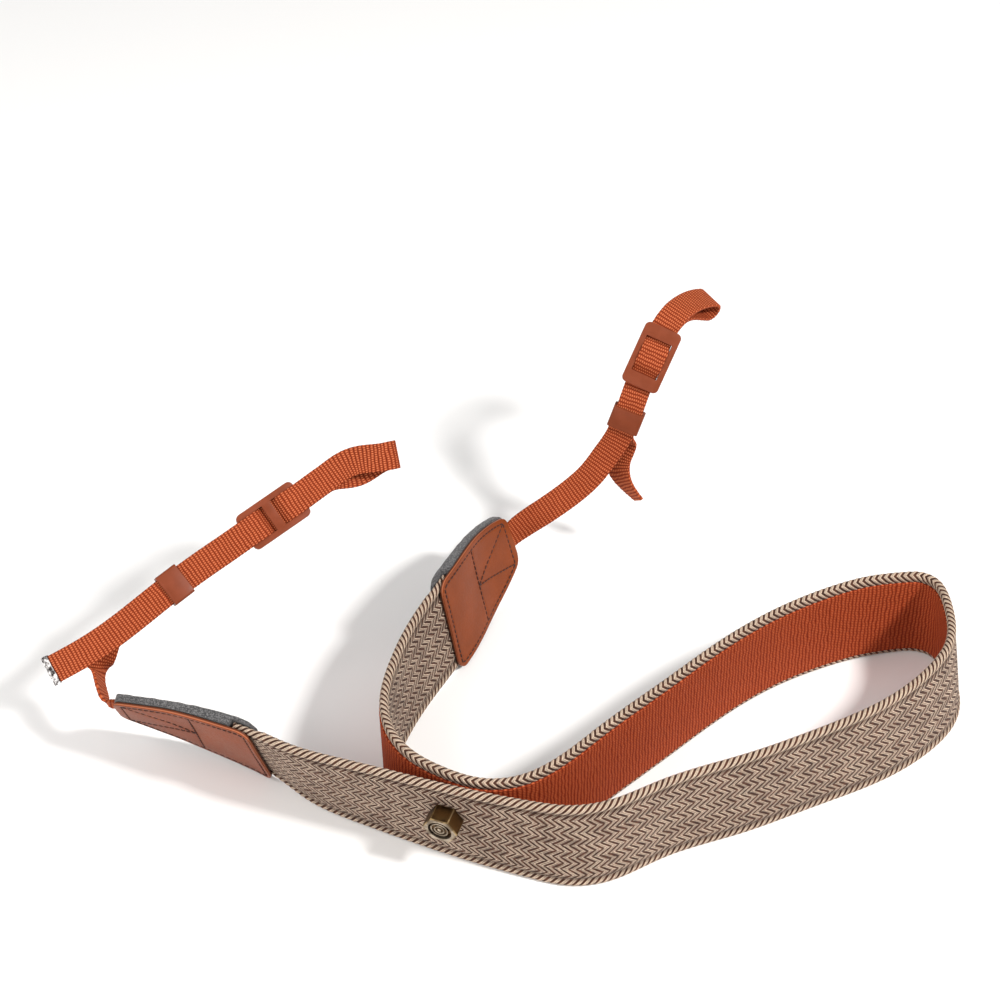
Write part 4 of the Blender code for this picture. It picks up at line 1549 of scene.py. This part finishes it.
@dataclass
class LeatherTab:
    """One end's leather tab: its stitched front, its felt back and its sewing."""

    layout: Layout
    side: Side
    line: Line
    width: float = 0.0420
    neck: float = 0.0195
    corner: float = 0.0030
    wide_corner: float = 0.0052
    leather: float = 0.0013
    backing: float = 0.0026
    backing_end: float = 0.0012
    margin: float = 0.0008
    step: float = 0.0020
    lining: float = 0.0010
    seam_in: float = 0.0021
    seam_in_neck: float = 0.0034
    cross_seam: float = 0.0309
    stitch_pitch: float = 0.0024
    stitch_length: float = 0.0020
    stitch_width: float = 0.00062
    groove: float = 0.00022
    groove_half: float = 0.0007
    ripple: float = 0.00012
    end_crowding: float = 0.045
    leather_edge: float = 0.00032
    felt_edge: float = 0.0006
    sharp_degrees: float = 50.0
    seam_sample: float = 0.0004
    batch: int = 4000
    channel_blur: float = 0.0008
    stitch_sunk: float = 0.00006

    def half_width(self, distance: Array, margin: float) -> Array:
        """Half of the tab's width, a shield outline.

        Args:
            distance: Distances from the narrow end.
            margin: How far outside the leather's own outline.

        Returns:
            Half widths.
        """
        full = self.layout.tab_length
        share = np.clip(distance / full, 0, 1)
        half = self.neck / 2 + (self.width - self.neck) / 2 * np.sin(math.pi / 2 * share**0.75)
        for end, corner in ((0, self.corner), (full, self.wide_corner)):
            inside = np.maximum(corner - np.abs(distance - end), 0)
            half = half - (corner - np.sqrt(corner**2 - inside**2))
        return half + margin

    @property
    def clear(self) -> float:
        """Where the strap's end starts, from the narrow end."""
        return self.layout.tab_length - self.layout.strap_tuck - self.layout.gap

    @property
    def full(self) -> float:
        """Where the webbing's end stops, from the narrow end."""
        return self.layout.webbing_tuck + 2 * self.layout.gap

    def rise(self, distance: Array) -> Array:
        """How far the leather stands off: it rises slowly from the webbing's end to the strap's.

        Args:
            distance: Distances from the narrow end.

        Returns:
            The extra distances from the band's middle.
        """
        share = smooth_step((distance - self.full) / (self.clear - self.full))
        return share * (self.layout.strap_thickness + self.layout.gap) / 2

    def backing_levels(self, distance: Array) -> tuple[Array, Array]:
        """Where the felt's inner and outer faces lie behind the leather's start.

        Args:
            distance: Distances from the narrow end.

        Returns:
            The inner face's and the outer face's distances.
        """
        behind = self.layout.strap_thickness / 2 - self.lining - self.layout.gap / 2
        step = smooth_step((distance - self.clear + self.step) / self.step)
        inner = behind * step - self.rise(distance) * (1 - step)
        thins = smooth_step((distance - self.full) / (self.clear - self.full))
        return inner, self.backing + (behind + self.backing_end - self.backing) * thins

    def sheet(self, name: str, margin: float, wall: float, bevel: float) -> bpy.types.Object:
        """Cuts a flat tab with a wall and rounded edges.

        Args:
            name: The object's name.
            margin: How far outside the leather's own outline.
            wall: Its thickness.
            bevel: How far its edges are rounded.

        Returns:
            The flat piece, x along, y across, z from -wall / 2 to wall / 2.
        """
        deselect()
        bpy.ops.mesh.primitive_grid_add(x_subdivisions=78, y_subdivisions=46, size=2)
        piece = bpy.context.object
        piece.name = piece.data.name = name
        points = points_of(piece)
        share = (points[:, 0] + 1) / 2
        eased = share - self.end_crowding * np.sin(TURN * share)
        along = eased * self.layout.tab_length
        points[:, 0] = along
        points[:, 1] *= self.half_width(along, margin)
        move_points(piece, points)
        solid = piece.modifiers.new("wall", "SOLIDIFY")
        solid.thickness = wall
        solid.offset = 0
        add_bevel(piece, bevel, 3, 60)
        return apply_modifiers(piece)

    def seams(self) -> list[Array]:
        """Draws the seams on the flat tab.

        Returns:
            Rows of places: round the edge, across the middle, and the two arms of the V.
        """
        full = self.layout.tab_length
        along = np.linspace(self.seam_in_neck, full - self.seam_in, 60)
        half = self.half_width(along, 0) - self.seam_in
        round_edge = np.concatenate([
            np.column_stack([along, half]),
            np.column_stack([along[::-1], -half[::-1]]),
            [[along[0], half[0]]],
        ])
        cross = float(np.interp(self.cross_seam, along, half))
        middle = np.array([self.cross_seam, 0.0])
        neck = np.array([along[0], half[0]])
        return [
            round_edge,
            np.array([[self.cross_seam, -cross], [self.cross_seam, cross]]),
            np.array([middle, neck]),
            np.array([middle, neck * [1, -1]]),
        ]

    def seam_depth(self, points: Array) -> Array:
        """How much the leather sinks at the seams.

        Args:
            points: Flat places.

        Returns:
            1 on a seam, 0 away from it.
        """
        nearest = np.full(len(points), 1.0)
        for seam in self.seams():
            reach = reach_of(seam)
            wanted = np.linspace(0, reach[-1], int(reach[-1] / self.seam_sample))
            dense = np.column_stack([np.interp(wanted, reach, seam[:, k]) for k in (0, 1)])
            for start in range(0, len(points), self.batch):
                some = slice(start, start + self.batch)
                part = points[some, None, :2] - dense[None]
                found = np.sqrt((part**2).sum(-1)).min(axis=1)
                nearest[some] = np.minimum(nearest[some], found)
        return smooth_step(1 - nearest / self.groove_half)

    def rise_front(self, flat: Array) -> Array:
        """How far the leather's points stand out of the band.

        Args:
            flat: Flat points of the leather.

        Returns:
            Distances out of the band's middle.
        """
        level = self.layout.gap / 2 + self.leather / 2
        return self.side.outward * (level + self.rise(flat[:, 0])) + flat[:, 2]

    def build_front(self) -> None:
        """Builds the leather with its sewn grooves, a faint wave and a pale cut edge."""
        piece = self.sheet(f"leather_{self.side.value}", 0.0, self.leather, self.leather_edge)
        flat = points_of(piece)
        upper = flat[:, 2] * self.side.outward
        top = smooth_step((upper / self.leather + 0.5 - 0.55) / 0.4)
        full = self.layout.tab_length
        wave = self.ripple * np.sin(flat[:, 0] / full * 9.0) * np.sin(flat[:, 1] / self.width * 7.0 + 1.0)
        flat[:, 2] += self.side.outward * (wave - self.groove * self.seam_depth(flat)) * top
        layer = piece.data.uv_layers.new(name="along_across")
        loops = np.empty(len(piece.data.loops), int)
        piece.data.loops.foreach_get("vertex_index", loops)
        down = np.clip(0.5 - upper / self.leather, 0, 1)
        shown = np.column_stack([flat[:, 0] / MM, down]) / UV_SCALE_MM
        layer.data.foreach_set("uv", shown[loops].ravel())
        move_points(piece, self.line.lay(flat, 0.0, self.rise_front(flat)))
        face_outwards(piece)
        smooth(piece, self.sharp_degrees)
        dress(piece, LeatherFinish(), [f"tab_front_{self.side.value}"])

    def build_back(self) -> None:
        """Builds the felt back, thinner where it lies on the strap, open where the webbing goes in."""
        piece = self.sheet(f"felt_{self.side.value}", self.margin, self.backing, self.felt_edge)
        flat = points_of(piece)
        share = 0.5 - flat[:, 2] * self.side.outward / self.backing
        channel = (self.layout.webbing_wall + 2 * self.layout.gap) / self.backing
        channel_half = self.layout.webbing_width / 2 + 2 * self.layout.gap
        beside = smooth_step((channel_half - np.abs(flat[:, 1])) / self.channel_blur + 1)
        inside = beside * smooth_step((self.layout.webbing_tuck - flat[:, 0]) / MM + 1)
        share = np.maximum(share, np.where(share < 0.5, channel * inside, share))
        inner, outer = self.backing_levels(flat[:, 0])
        ripple = self.ripple * np.sin(flat[:, 0] * 900) * np.sin(flat[:, 1] * 1100 + 2)
        depth = inner + (outer - inner) * share + ripple * (share > 0.5)
        level = self.layout.gap / 2
        move_points(piece, self.line.lay(flat, 0.0, -self.side.outward * (level + depth)))
        face_outwards(piece)
        smooth(piece, self.sharp_degrees)
        dress(piece, FeltFinish(), [f"tab_back_{self.side.value}"])

    def build_sewing(self) -> None:
        """Sets one thread stitch after another along every seam."""
        deselect()
        bpy.ops.mesh.primitive_uv_sphere_add(segments=8, ring_count=6, radius=0.5)
        stitch = bpy.context.object
        base = points_of(stitch)[:, [2, 1, 0]]
        faces = [tuple(face.vertices) for face in stitch.data.polygons]
        bpy.data.objects.remove(stitch)
        base = base * [self.stitch_length, self.stitch_width, self.stitch_width]
        points, all_faces = [], []
        for seam in self.seams():
            reach = reach_of(seam)
            count = max(int(reach[-1] / self.stitch_pitch), 1)
            for centre in (np.arange(count) + 0.5) * reach[-1] / count:
                ends = np.array([centre - 0.0002, centre + 0.0002])
                spot = np.column_stack([np.interp(ends, reach, seam[:, k]) for k in (0, 1)])
                turn = unit(spot[1] - spot[0])
                flat = np.column_stack([
                    spot.mean(axis=0)[0] + base[:, 0] * turn[0] - base[:, 1] * turn[1],
                    spot.mean(axis=0)[1] + base[:, 0] * turn[1] + base[:, 1] * turn[0],
                    base[:, 2] + self.side.outward * (self.leather / 2 - self.stitch_sunk),
                ])
                offset = len(points) * len(base)
                points.append(self.line.lay(flat, 0.0, self.rise_front(flat)))
                all_faces += [tuple(index + offset for index in face) for face in faces]
        mesh = bpy.data.meshes.new(f"sewing_{self.side.value}")
        mesh.from_pydata(np.concatenate(points).tolist(), [], all_faces)
        piece = add_object(mesh.name, mesh)
        face_outwards(piece)
        piece.data.shade_smooth()
        dress(piece, ThreadFinish())

    def build(self) -> None:
        """Builds the whole tab."""
        self.build_front()
        self.build_back()
        self.build_sewing()


@dataclass
class WebbingEnd:
    """One side's webbing with its slide buckle and its keeper."""

    layout: Layout
    run: WebbingRun
    rib_pitch_mm: float = 1.42
    rib_roundness: float = 0.7
    rib_between: float = 0.55
    rib_swell: float = 0.012
    stitch_mm: float = 0.84
    selvedge: float = 0.00025
    step: float = 0.00030
    columns: int = 40
    relief: float = 0.00016
    rail: float = 0.0022
    side_play: float = 0.0003
    buckle_corner: float = 0.0020
    keeper_length: float = 0.0088
    keeper_wall: float = 0.0010
    keeper_corner: float = 0.0009
    keeper_edge: float = 0.00028
    buckle_edge: float = 0.00042
    sharp_degrees: float = 38.0

    def build_webbing(self) -> None:
        """Weaves the webbing: every rib is a row of small raised stitches, on both faces."""
        line = self.run.line
        distance = np.arange(0, line.length, self.step)
        half = (self.layout.webbing_width / 2 + self.selvedge) / MM
        wall = self.layout.webbing_wall / 2 / MM
        row = np.linspace(-half + 0.25, half - 0.25, self.columns)
        edge = [(half - 0.06, wall - 0.14), (half, 0.0), (half - 0.06, -wall + 0.14)]
        section = np.array([
            *[(x, wall) for x in row], *edge, *[(x, -wall) for x in row[::-1]],
            *[(-x, -y) for x, y in edge],
        ])
        across = np.concatenate([section[:, 0], section[:1, 0]])
        rib = distance / MM / self.rib_pitch_mm
        knot = section[None, :, 0] / self.stitch_mm + 0.5 * (np.floor(rib) % 2)[:, None]
        high = np.abs(np.sin(math.pi * rib))[:, None] ** self.rib_roundness
        high = high * (self.rib_between + (1 - self.rib_between) * np.abs(np.sin(math.pi * knot)))
        face = np.sign(section[:, 1]) * (np.abs(section[:, 1]) > wall - 0.2)
        rise = section[None, :, 1] * MM + (high - 0.75) * self.relief * face[None, :]
        bulge = 1 + self.rib_swell * np.abs(np.sin(math.pi * rib))[:, None]
        side = section[None, :, 0] * MM * bulge
        name = self.run.side.value
        piece = sweep(f"woven_webbing_{name}", line, distance, (side, rise), across)
        # Colours: the webbing's own, its painted valley shade, its painted crown highlight.
        finish = RibbedFinish(
            "orange_webbing_weave", (0.43, 0.080, 0.023), (0.115, 0.012, 0.003), (0.72, 0.26, 0.125),
            self.rib_pitch_mm, self.stitch_mm, 0.12, wander_mm=0.9,
        )
        dress(piece, finish, [f"webbing_{name}"])

    def block(self, size: Sequence[float], centre: Sequence[float]) -> bpy.types.Object:
        """Adds a cube at its size and place.

        Args:
            size: Its sizes.
            centre: Its middle.

        Returns:
            The cube.
        """
        deselect()
        bpy.ops.mesh.primitive_cube_add(size=1, location=centre, scale=size)
        piece = bpy.context.object
        bpy.ops.object.transform_apply(location=True, rotation=False, scale=True)
        return piece

    def round_corners(self, piece: bpy.types.Object, axis: int, radius: float) -> None:
        """Bevels the edges that run along one axis, in edit mode.

        Args:
            piece: A plain block.
            axis: The axis of the edges.
            radius: Their radius.
        """
        take(piece)
        bpy.ops.object.mode_set(mode="EDIT")
        bpy.ops.mesh.select_all(action="DESELECT")
        mesh = bmesh.from_edit_mesh(piece.data)
        for edge in mesh.edges:
            run = edge.verts[1].co - edge.verts[0].co
            edge.select = abs(run[axis]) > 0.9 * run.length
        bmesh.update_edit_mesh(piece.data)
        bpy.ops.mesh.select_mode(type="EDGE")
        bpy.ops.mesh.bevel(offset=radius, segments=5, affect="EDGES")
        bpy.ops.object.mode_set(mode="OBJECT")

    def build_buckle(self) -> None:
        """Moulds the slide buckle: rails, low end bars, and a centre bar on the other side."""
        sizes = self.layout
        inside = sizes.webbing_width + 2 * self.side_play
        width = inside + 2 * self.rail
        thick = 2 * (sizes.bar_wall + sizes.bar_part)
        face = 1 if self.run.side is Side.LEFT else -1
        piece = self.block((sizes.buckle_length, width, thick), (0, 0, 0))
        self.round_corners(piece, 2, self.buckle_corner)
        window = sizes.buckle_length - 2 * sizes.end_bar
        combine(piece, self.block((window, inside, 4 * thick), (0, 0, 0)), "DIFFERENCE")
        recess = self.block(
            (2 * sizes.buckle_length, inside, thick), (0, 0, face * (thick / 2 - sizes.bar_part))
        )
        combine(piece, recess, "DIFFERENCE")
        bar = self.block(
            (sizes.centre_bar, inside + self.rail, sizes.bar_wall * 0.98),
            (0, 0, face * (sizes.bar_part + sizes.bar_wall / 2)),
        )
        combine(piece, bar, "UNION")
        add_bevel(piece, self.buckle_edge, 3, self.sharp_degrees)
        apply_modifiers(piece)
        piece.name = piece.data.name = f"slide_buckle_{self.run.side.value}"
        set_on(piece, self.run.pair, self.run.buckle, self.sharp_degrees)
        dress(piece, PlasticFinish(), [f"buckle_{self.run.side.value}"])

    def build_keeper(self) -> None:
        """Moulds the keeper, a short box round both layers."""
        sizes = self.layout
        inner_width = sizes.webbing_width + 2 * self.side_play
        inner_height = 2 * (sizes.half_stack + sizes.gap)
        outer = (self.keeper_length, inner_width + 2 * self.keeper_wall, inner_height + 2 * self.keeper_wall)
        piece = self.block(outer, (0, 0, 0))
        self.round_corners(piece, 0, self.keeper_corner)
        hole = self.block((2 * self.keeper_length, inner_width, inner_height), (0, 0, 0))
        combine(piece, hole, "DIFFERENCE")
        add_bevel(piece, self.keeper_edge, 3, self.sharp_degrees)
        apply_modifiers(piece)
        piece.name = piece.data.name = f"moulded_keeper_{self.run.side.value}"
        set_on(piece, self.run.pair, self.run.keeper, self.sharp_degrees)
        dress(piece, PlasticFinish(), [f"keeper_{self.run.side.value}"])

    def build(self) -> None:
        """Builds the whole end."""
        self.build_webbing()
        self.build_buckle()
        self.build_keeper()


@dataclass
class FoilTip:
    """The crimped tip on the left tail: clear film over crinkled foil."""

    layout: Layout
    run: WebbingRun
    length: float = 0.0024
    wall: float = 0.0004
    crinkle: float = 0.00022
    crease_share: float = 0.35
    creases: int = 9
    sharp_degrees: float = 12.0
    seed: int = 7

    def build(self) -> None:
        """Builds the tip from a cut cube, pressed into creases."""
        inner = self.layout.webbing_wall + 2 * self.layout.gap
        width = self.layout.webbing_width + 2 * self.layout.gap
        deselect()
        bpy.ops.mesh.primitive_cube_add(size=1, location=(0, 0, 0))
        piece = bpy.context.object
        piece.name = piece.data.name = "foil_tip"
        bpy.ops.object.mode_set(mode="EDIT")
        bpy.ops.mesh.select_all(action="SELECT")
        bpy.ops.mesh.subdivide(number_cuts=13)
        bpy.ops.object.mode_set(mode="OBJECT")
        points = points_of(piece)
        size = np.array([self.length, width + 2 * self.wall, inner + 2 * self.wall])
        flat = points * size
        random = np.random.default_rng(self.seed)
        for _ in range(self.creases):
            turn = unit(random.normal(size=3) * [1, 1.5, 0.3])
            period = random.uniform(0.0011, 0.0026)
            crease = np.abs(((flat @ turn) / period + random.uniform()) % 1 - 0.5) * 2
            flat = flat + unit(points) * (crease[:, None] - 0.5) * self.crinkle * self.crease_share
        flat[:, 0] += self.length / 2 - self.wall - self.layout.gap
        flat[:, 2] += self.layout.half_stack - self.layout.webbing_wall / 2
        move_points(piece, flat)
        set_on(piece, self.run.pair, 0.0, self.sharp_degrees)
        dress(piece, CRINKLED_FOIL, ["webbing_tip_left"])


@dataclass
class Stud:
    """The six-sided bronze stud with rings turned in its face."""

    layout: Layout
    band: Line
    across: float = 0.0114
    height: float = 0.0063
    face_radius: float = 0.0044
    dish_depth: float = 0.0016
    ring_radius: float = 0.0034
    ring_pitch: float = 0.0013
    ring_shift: float = 0.0004
    from_tab: float = 0.0742
    above_middle: float = 0.0042
    turn_degrees: float = 30.0
    sharp_degrees: float = 30.0
    edge: float = 0.0004
    sunk: float = 0.0003
    facets: int = 64
    centre_radius: float = 0.0007
    ridge: float = 0.0010
    valley: float = 0.0005
    ring_wall: float = 0.0001
    groove: float = 0.0006
    skin: float = 0.0002

    def settle(self, piece: bpy.types.Object) -> None:
        """Puts a piece of the stud on the band.

        Args:
            piece: The piece, x along, y across, z out.
        """
        distance = self.layout.tab_length + self.from_tab
        set_on(piece, self.band, distance, self.sharp_degrees, self.above_middle)

    def build_head(self) -> None:
        """Shapes the six-sided head: dark sides, worn edges and a dish in its pale top."""
        front = self.layout.strap_thickness / 2 + self.layout.gap
        deselect()
        bpy.ops.mesh.primitive_cylinder_add(
            vertices=6, radius=self.across / math.sqrt(3), depth=self.height + 2 * self.sunk,
            location=(0, 0, front + self.height / 2 - self.sunk),
            rotation=(0, 0, math.radians(self.turn_degrees)),
        )
        piece = bpy.context.object
        bpy.ops.object.transform_apply(location=True, rotation=True, scale=True)
        piece.name = piece.data.name = "stud_head"
        add_bevel(piece, self.edge, 4, 30).material = 1
        for finish in (PATINA, WORN_EDGE, PALE_FACE):
            piece.data.materials.append(finish.shared())
        apply_modifiers(piece)
        for face in piece.data.polygons:
            if face.normal.z > 0.98:
                face.material_index = 2
        deselect()
        bpy.ops.mesh.primitive_cylinder_add(
            vertices=self.facets, radius=self.face_radius, depth=self.height,
            location=(0, 0, front + 1.5 * self.height - self.dish_depth),
        )
        combine(piece, bpy.context.object, "DIFFERENCE")
        for face in piece.data.polygons:
            away = math.hypot(face.center.x, face.center.y)
            wall = abs(away - self.face_radius) < self.skin and face.center.z > front + MM
            face.material_index = 2 if wall else face.material_index
        self.settle(piece)
        dress(piece, None, ["stud"])

    def build_face(self) -> None:
        """Spins the ringed face from a stepped profile."""
        floor = self.layout.strap_thickness / 2 + self.layout.gap + self.height - self.dish_depth
        ridge, valley = floor + self.ridge, floor + self.valley
        profile = [(0.0, ridge), (self.centre_radius, ridge)]
        for ring in range(2):
            inner = self.centre_radius + ring * self.ring_pitch
            outer = inner + self.ring_wall + self.groove
            profile += [
                (inner + self.ring_wall, valley), (outer, valley), (outer + self.ring_wall, ridge),
                (inner + self.ring_pitch, ridge),
            ]
        profile += [(self.ring_radius, floor - self.skin), (0.0, floor - self.skin)]
        mesh = bpy.data.meshes.new("stud_face")
        mesh.from_pydata(
            [(radius, 0.0, height) for radius, height in profile],
            [(i, i + 1) for i in range(len(profile) - 1)], [],
        )
        piece = add_object("stud_face", mesh)
        take(piece)
        bpy.ops.object.mode_set(mode="EDIT")
        bpy.ops.mesh.select_all(action="SELECT")
        bpy.ops.mesh.spin(steps=self.facets, angle=TURN, center=(0, 0, 0), axis=(0, 0, 1))
        bpy.ops.mesh.select_all(action="SELECT")
        bpy.ops.mesh.remove_doubles(threshold=MERGE_DISTANCE)
        bpy.ops.object.mode_set(mode="OBJECT")
        for finish in (PALE_FACE, PATINA):
            piece.data.materials.append(finish.shared())
        for face in piece.data.polygons:
            face.material_index = int(face.center.z < (ridge + valley) / 2)
        move_points(piece, points_of(piece) - np.array([self.ring_shift, self.ring_shift, 0.0]))
        self.settle(piece)
        dress(piece, None)

    def build(self) -> None:
        """Builds the whole stud."""
        self.build_head()
        self.build_face()


LIGHTS = (
    # name, place, width, watts, colour
    ("key", (0.92, -0.47, 0.96), 0.20, 21.0, (1.0, 0.985, 0.97)),
    ("front", (-0.60, -1.05, 0.50), 0.90, 7.0, (1.0, 0.99, 0.98)),
    ("left", (-0.62, -0.30, 0.62), 0.50, 3.4, (1.0, 0.99, 0.98)),
)


@dataclass
class Studio:
    """A pale floor, soft light and the camera at the photograph's angle."""

    ground: float
    floor_size: float = 6.0
    floor_colour: tuple = (0.93, 0.925, 0.915)
    eye: tuple = (0.042, -0.720, 0.594)
    tilt_degrees: float = 49.5
    lens: float = 90.0
    aim: tuple = (0.04, -0.03)
    daylight: float = 0.44

    def add_floor(self) -> None:
        """Lays the floor."""
        deselect()
        bpy.ops.mesh.primitive_plane_add(size=self.floor_size, location=(0, 0, self.ground))
        floor = bpy.context.object
        floor.name = "floor"
        made, _, shader = blank_material("pale_floor")
        shader.inputs["Base Color"].default_value = (*self.floor_colour, 1)
        shader.inputs["Roughness"].default_value = 0.9
        shader.inputs["Specular IOR Level"].default_value = 0.1
        floor.data.materials.append(made)

    def add_light(self, name: str, place: Sequence[float], size: float, power: float, tint: tuple) -> None:
        """Adds one soft light that looks at the strap.

        Args:
            name: Its name.
            place: Where it hangs.
            size: Its width.
            power: Its power in watts.
            tint: Its colour.
        """
        light = bpy.data.lights.new(name, "AREA")
        light.size = size
        light.energy = power
        light.color = tint
        lamp = add_object(name, light)
        lamp.location = place
        aim = np.array([*self.aim, self.ground]) - np.array(place)
        flat = math.hypot(aim[0], aim[1])
        lamp.rotation_euler = (math.atan2(flat, -aim[2]), 0, math.atan2(aim[1], aim[0]) - TURN / 4)

    def build(self) -> None:
        """Sets the whole studio."""
        self.add_floor()
        for light in LIGHTS:
            self.add_light(*light)
        world = bpy.data.worlds.new("studio")
        world.use_nodes = True
        sky = world.node_tree.nodes["Background"]
        sky.inputs["Color"].default_value = (1.0, 1.0, 1.0, 1)
        sky.inputs["Strength"].default_value = self.daylight
        bpy.context.scene.world = world
        bpy.context.scene.view_settings.view_transform = "Standard"
        data = bpy.data.cameras.new("camera")
        data.lens = self.lens
        data.sensor_width = 36
        data.clip_start = 0.01
        eye = add_object("camera", data)
        eye.location = self.eye
        eye.rotation_euler = (math.radians(self.tilt_degrees), 0, 0)
        bpy.context.scene.camera = eye


def main() -> None:
    """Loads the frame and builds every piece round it."""
    logging.basicConfig(level=logging.INFO, format="%(name)s %(message)s")
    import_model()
    layout = Layout()
    Studio(ground=-layout.height).build()
    band = layout.band_line()
    ClothBand(layout, band).build()
    for side in Side:
        LeatherTab(layout, side, band if side is Side.LEFT else band.reverse()).build()
    for plan in WEBBING_PLANS:
        run = layout.webbing_run(plan, band)
        WebbingEnd(layout, run).build()
        if plan.side is Side.LEFT:
            FoilTip(layout, run).build()
    Stud(layout, band).build()


if __name__ == "__main__":
    main()
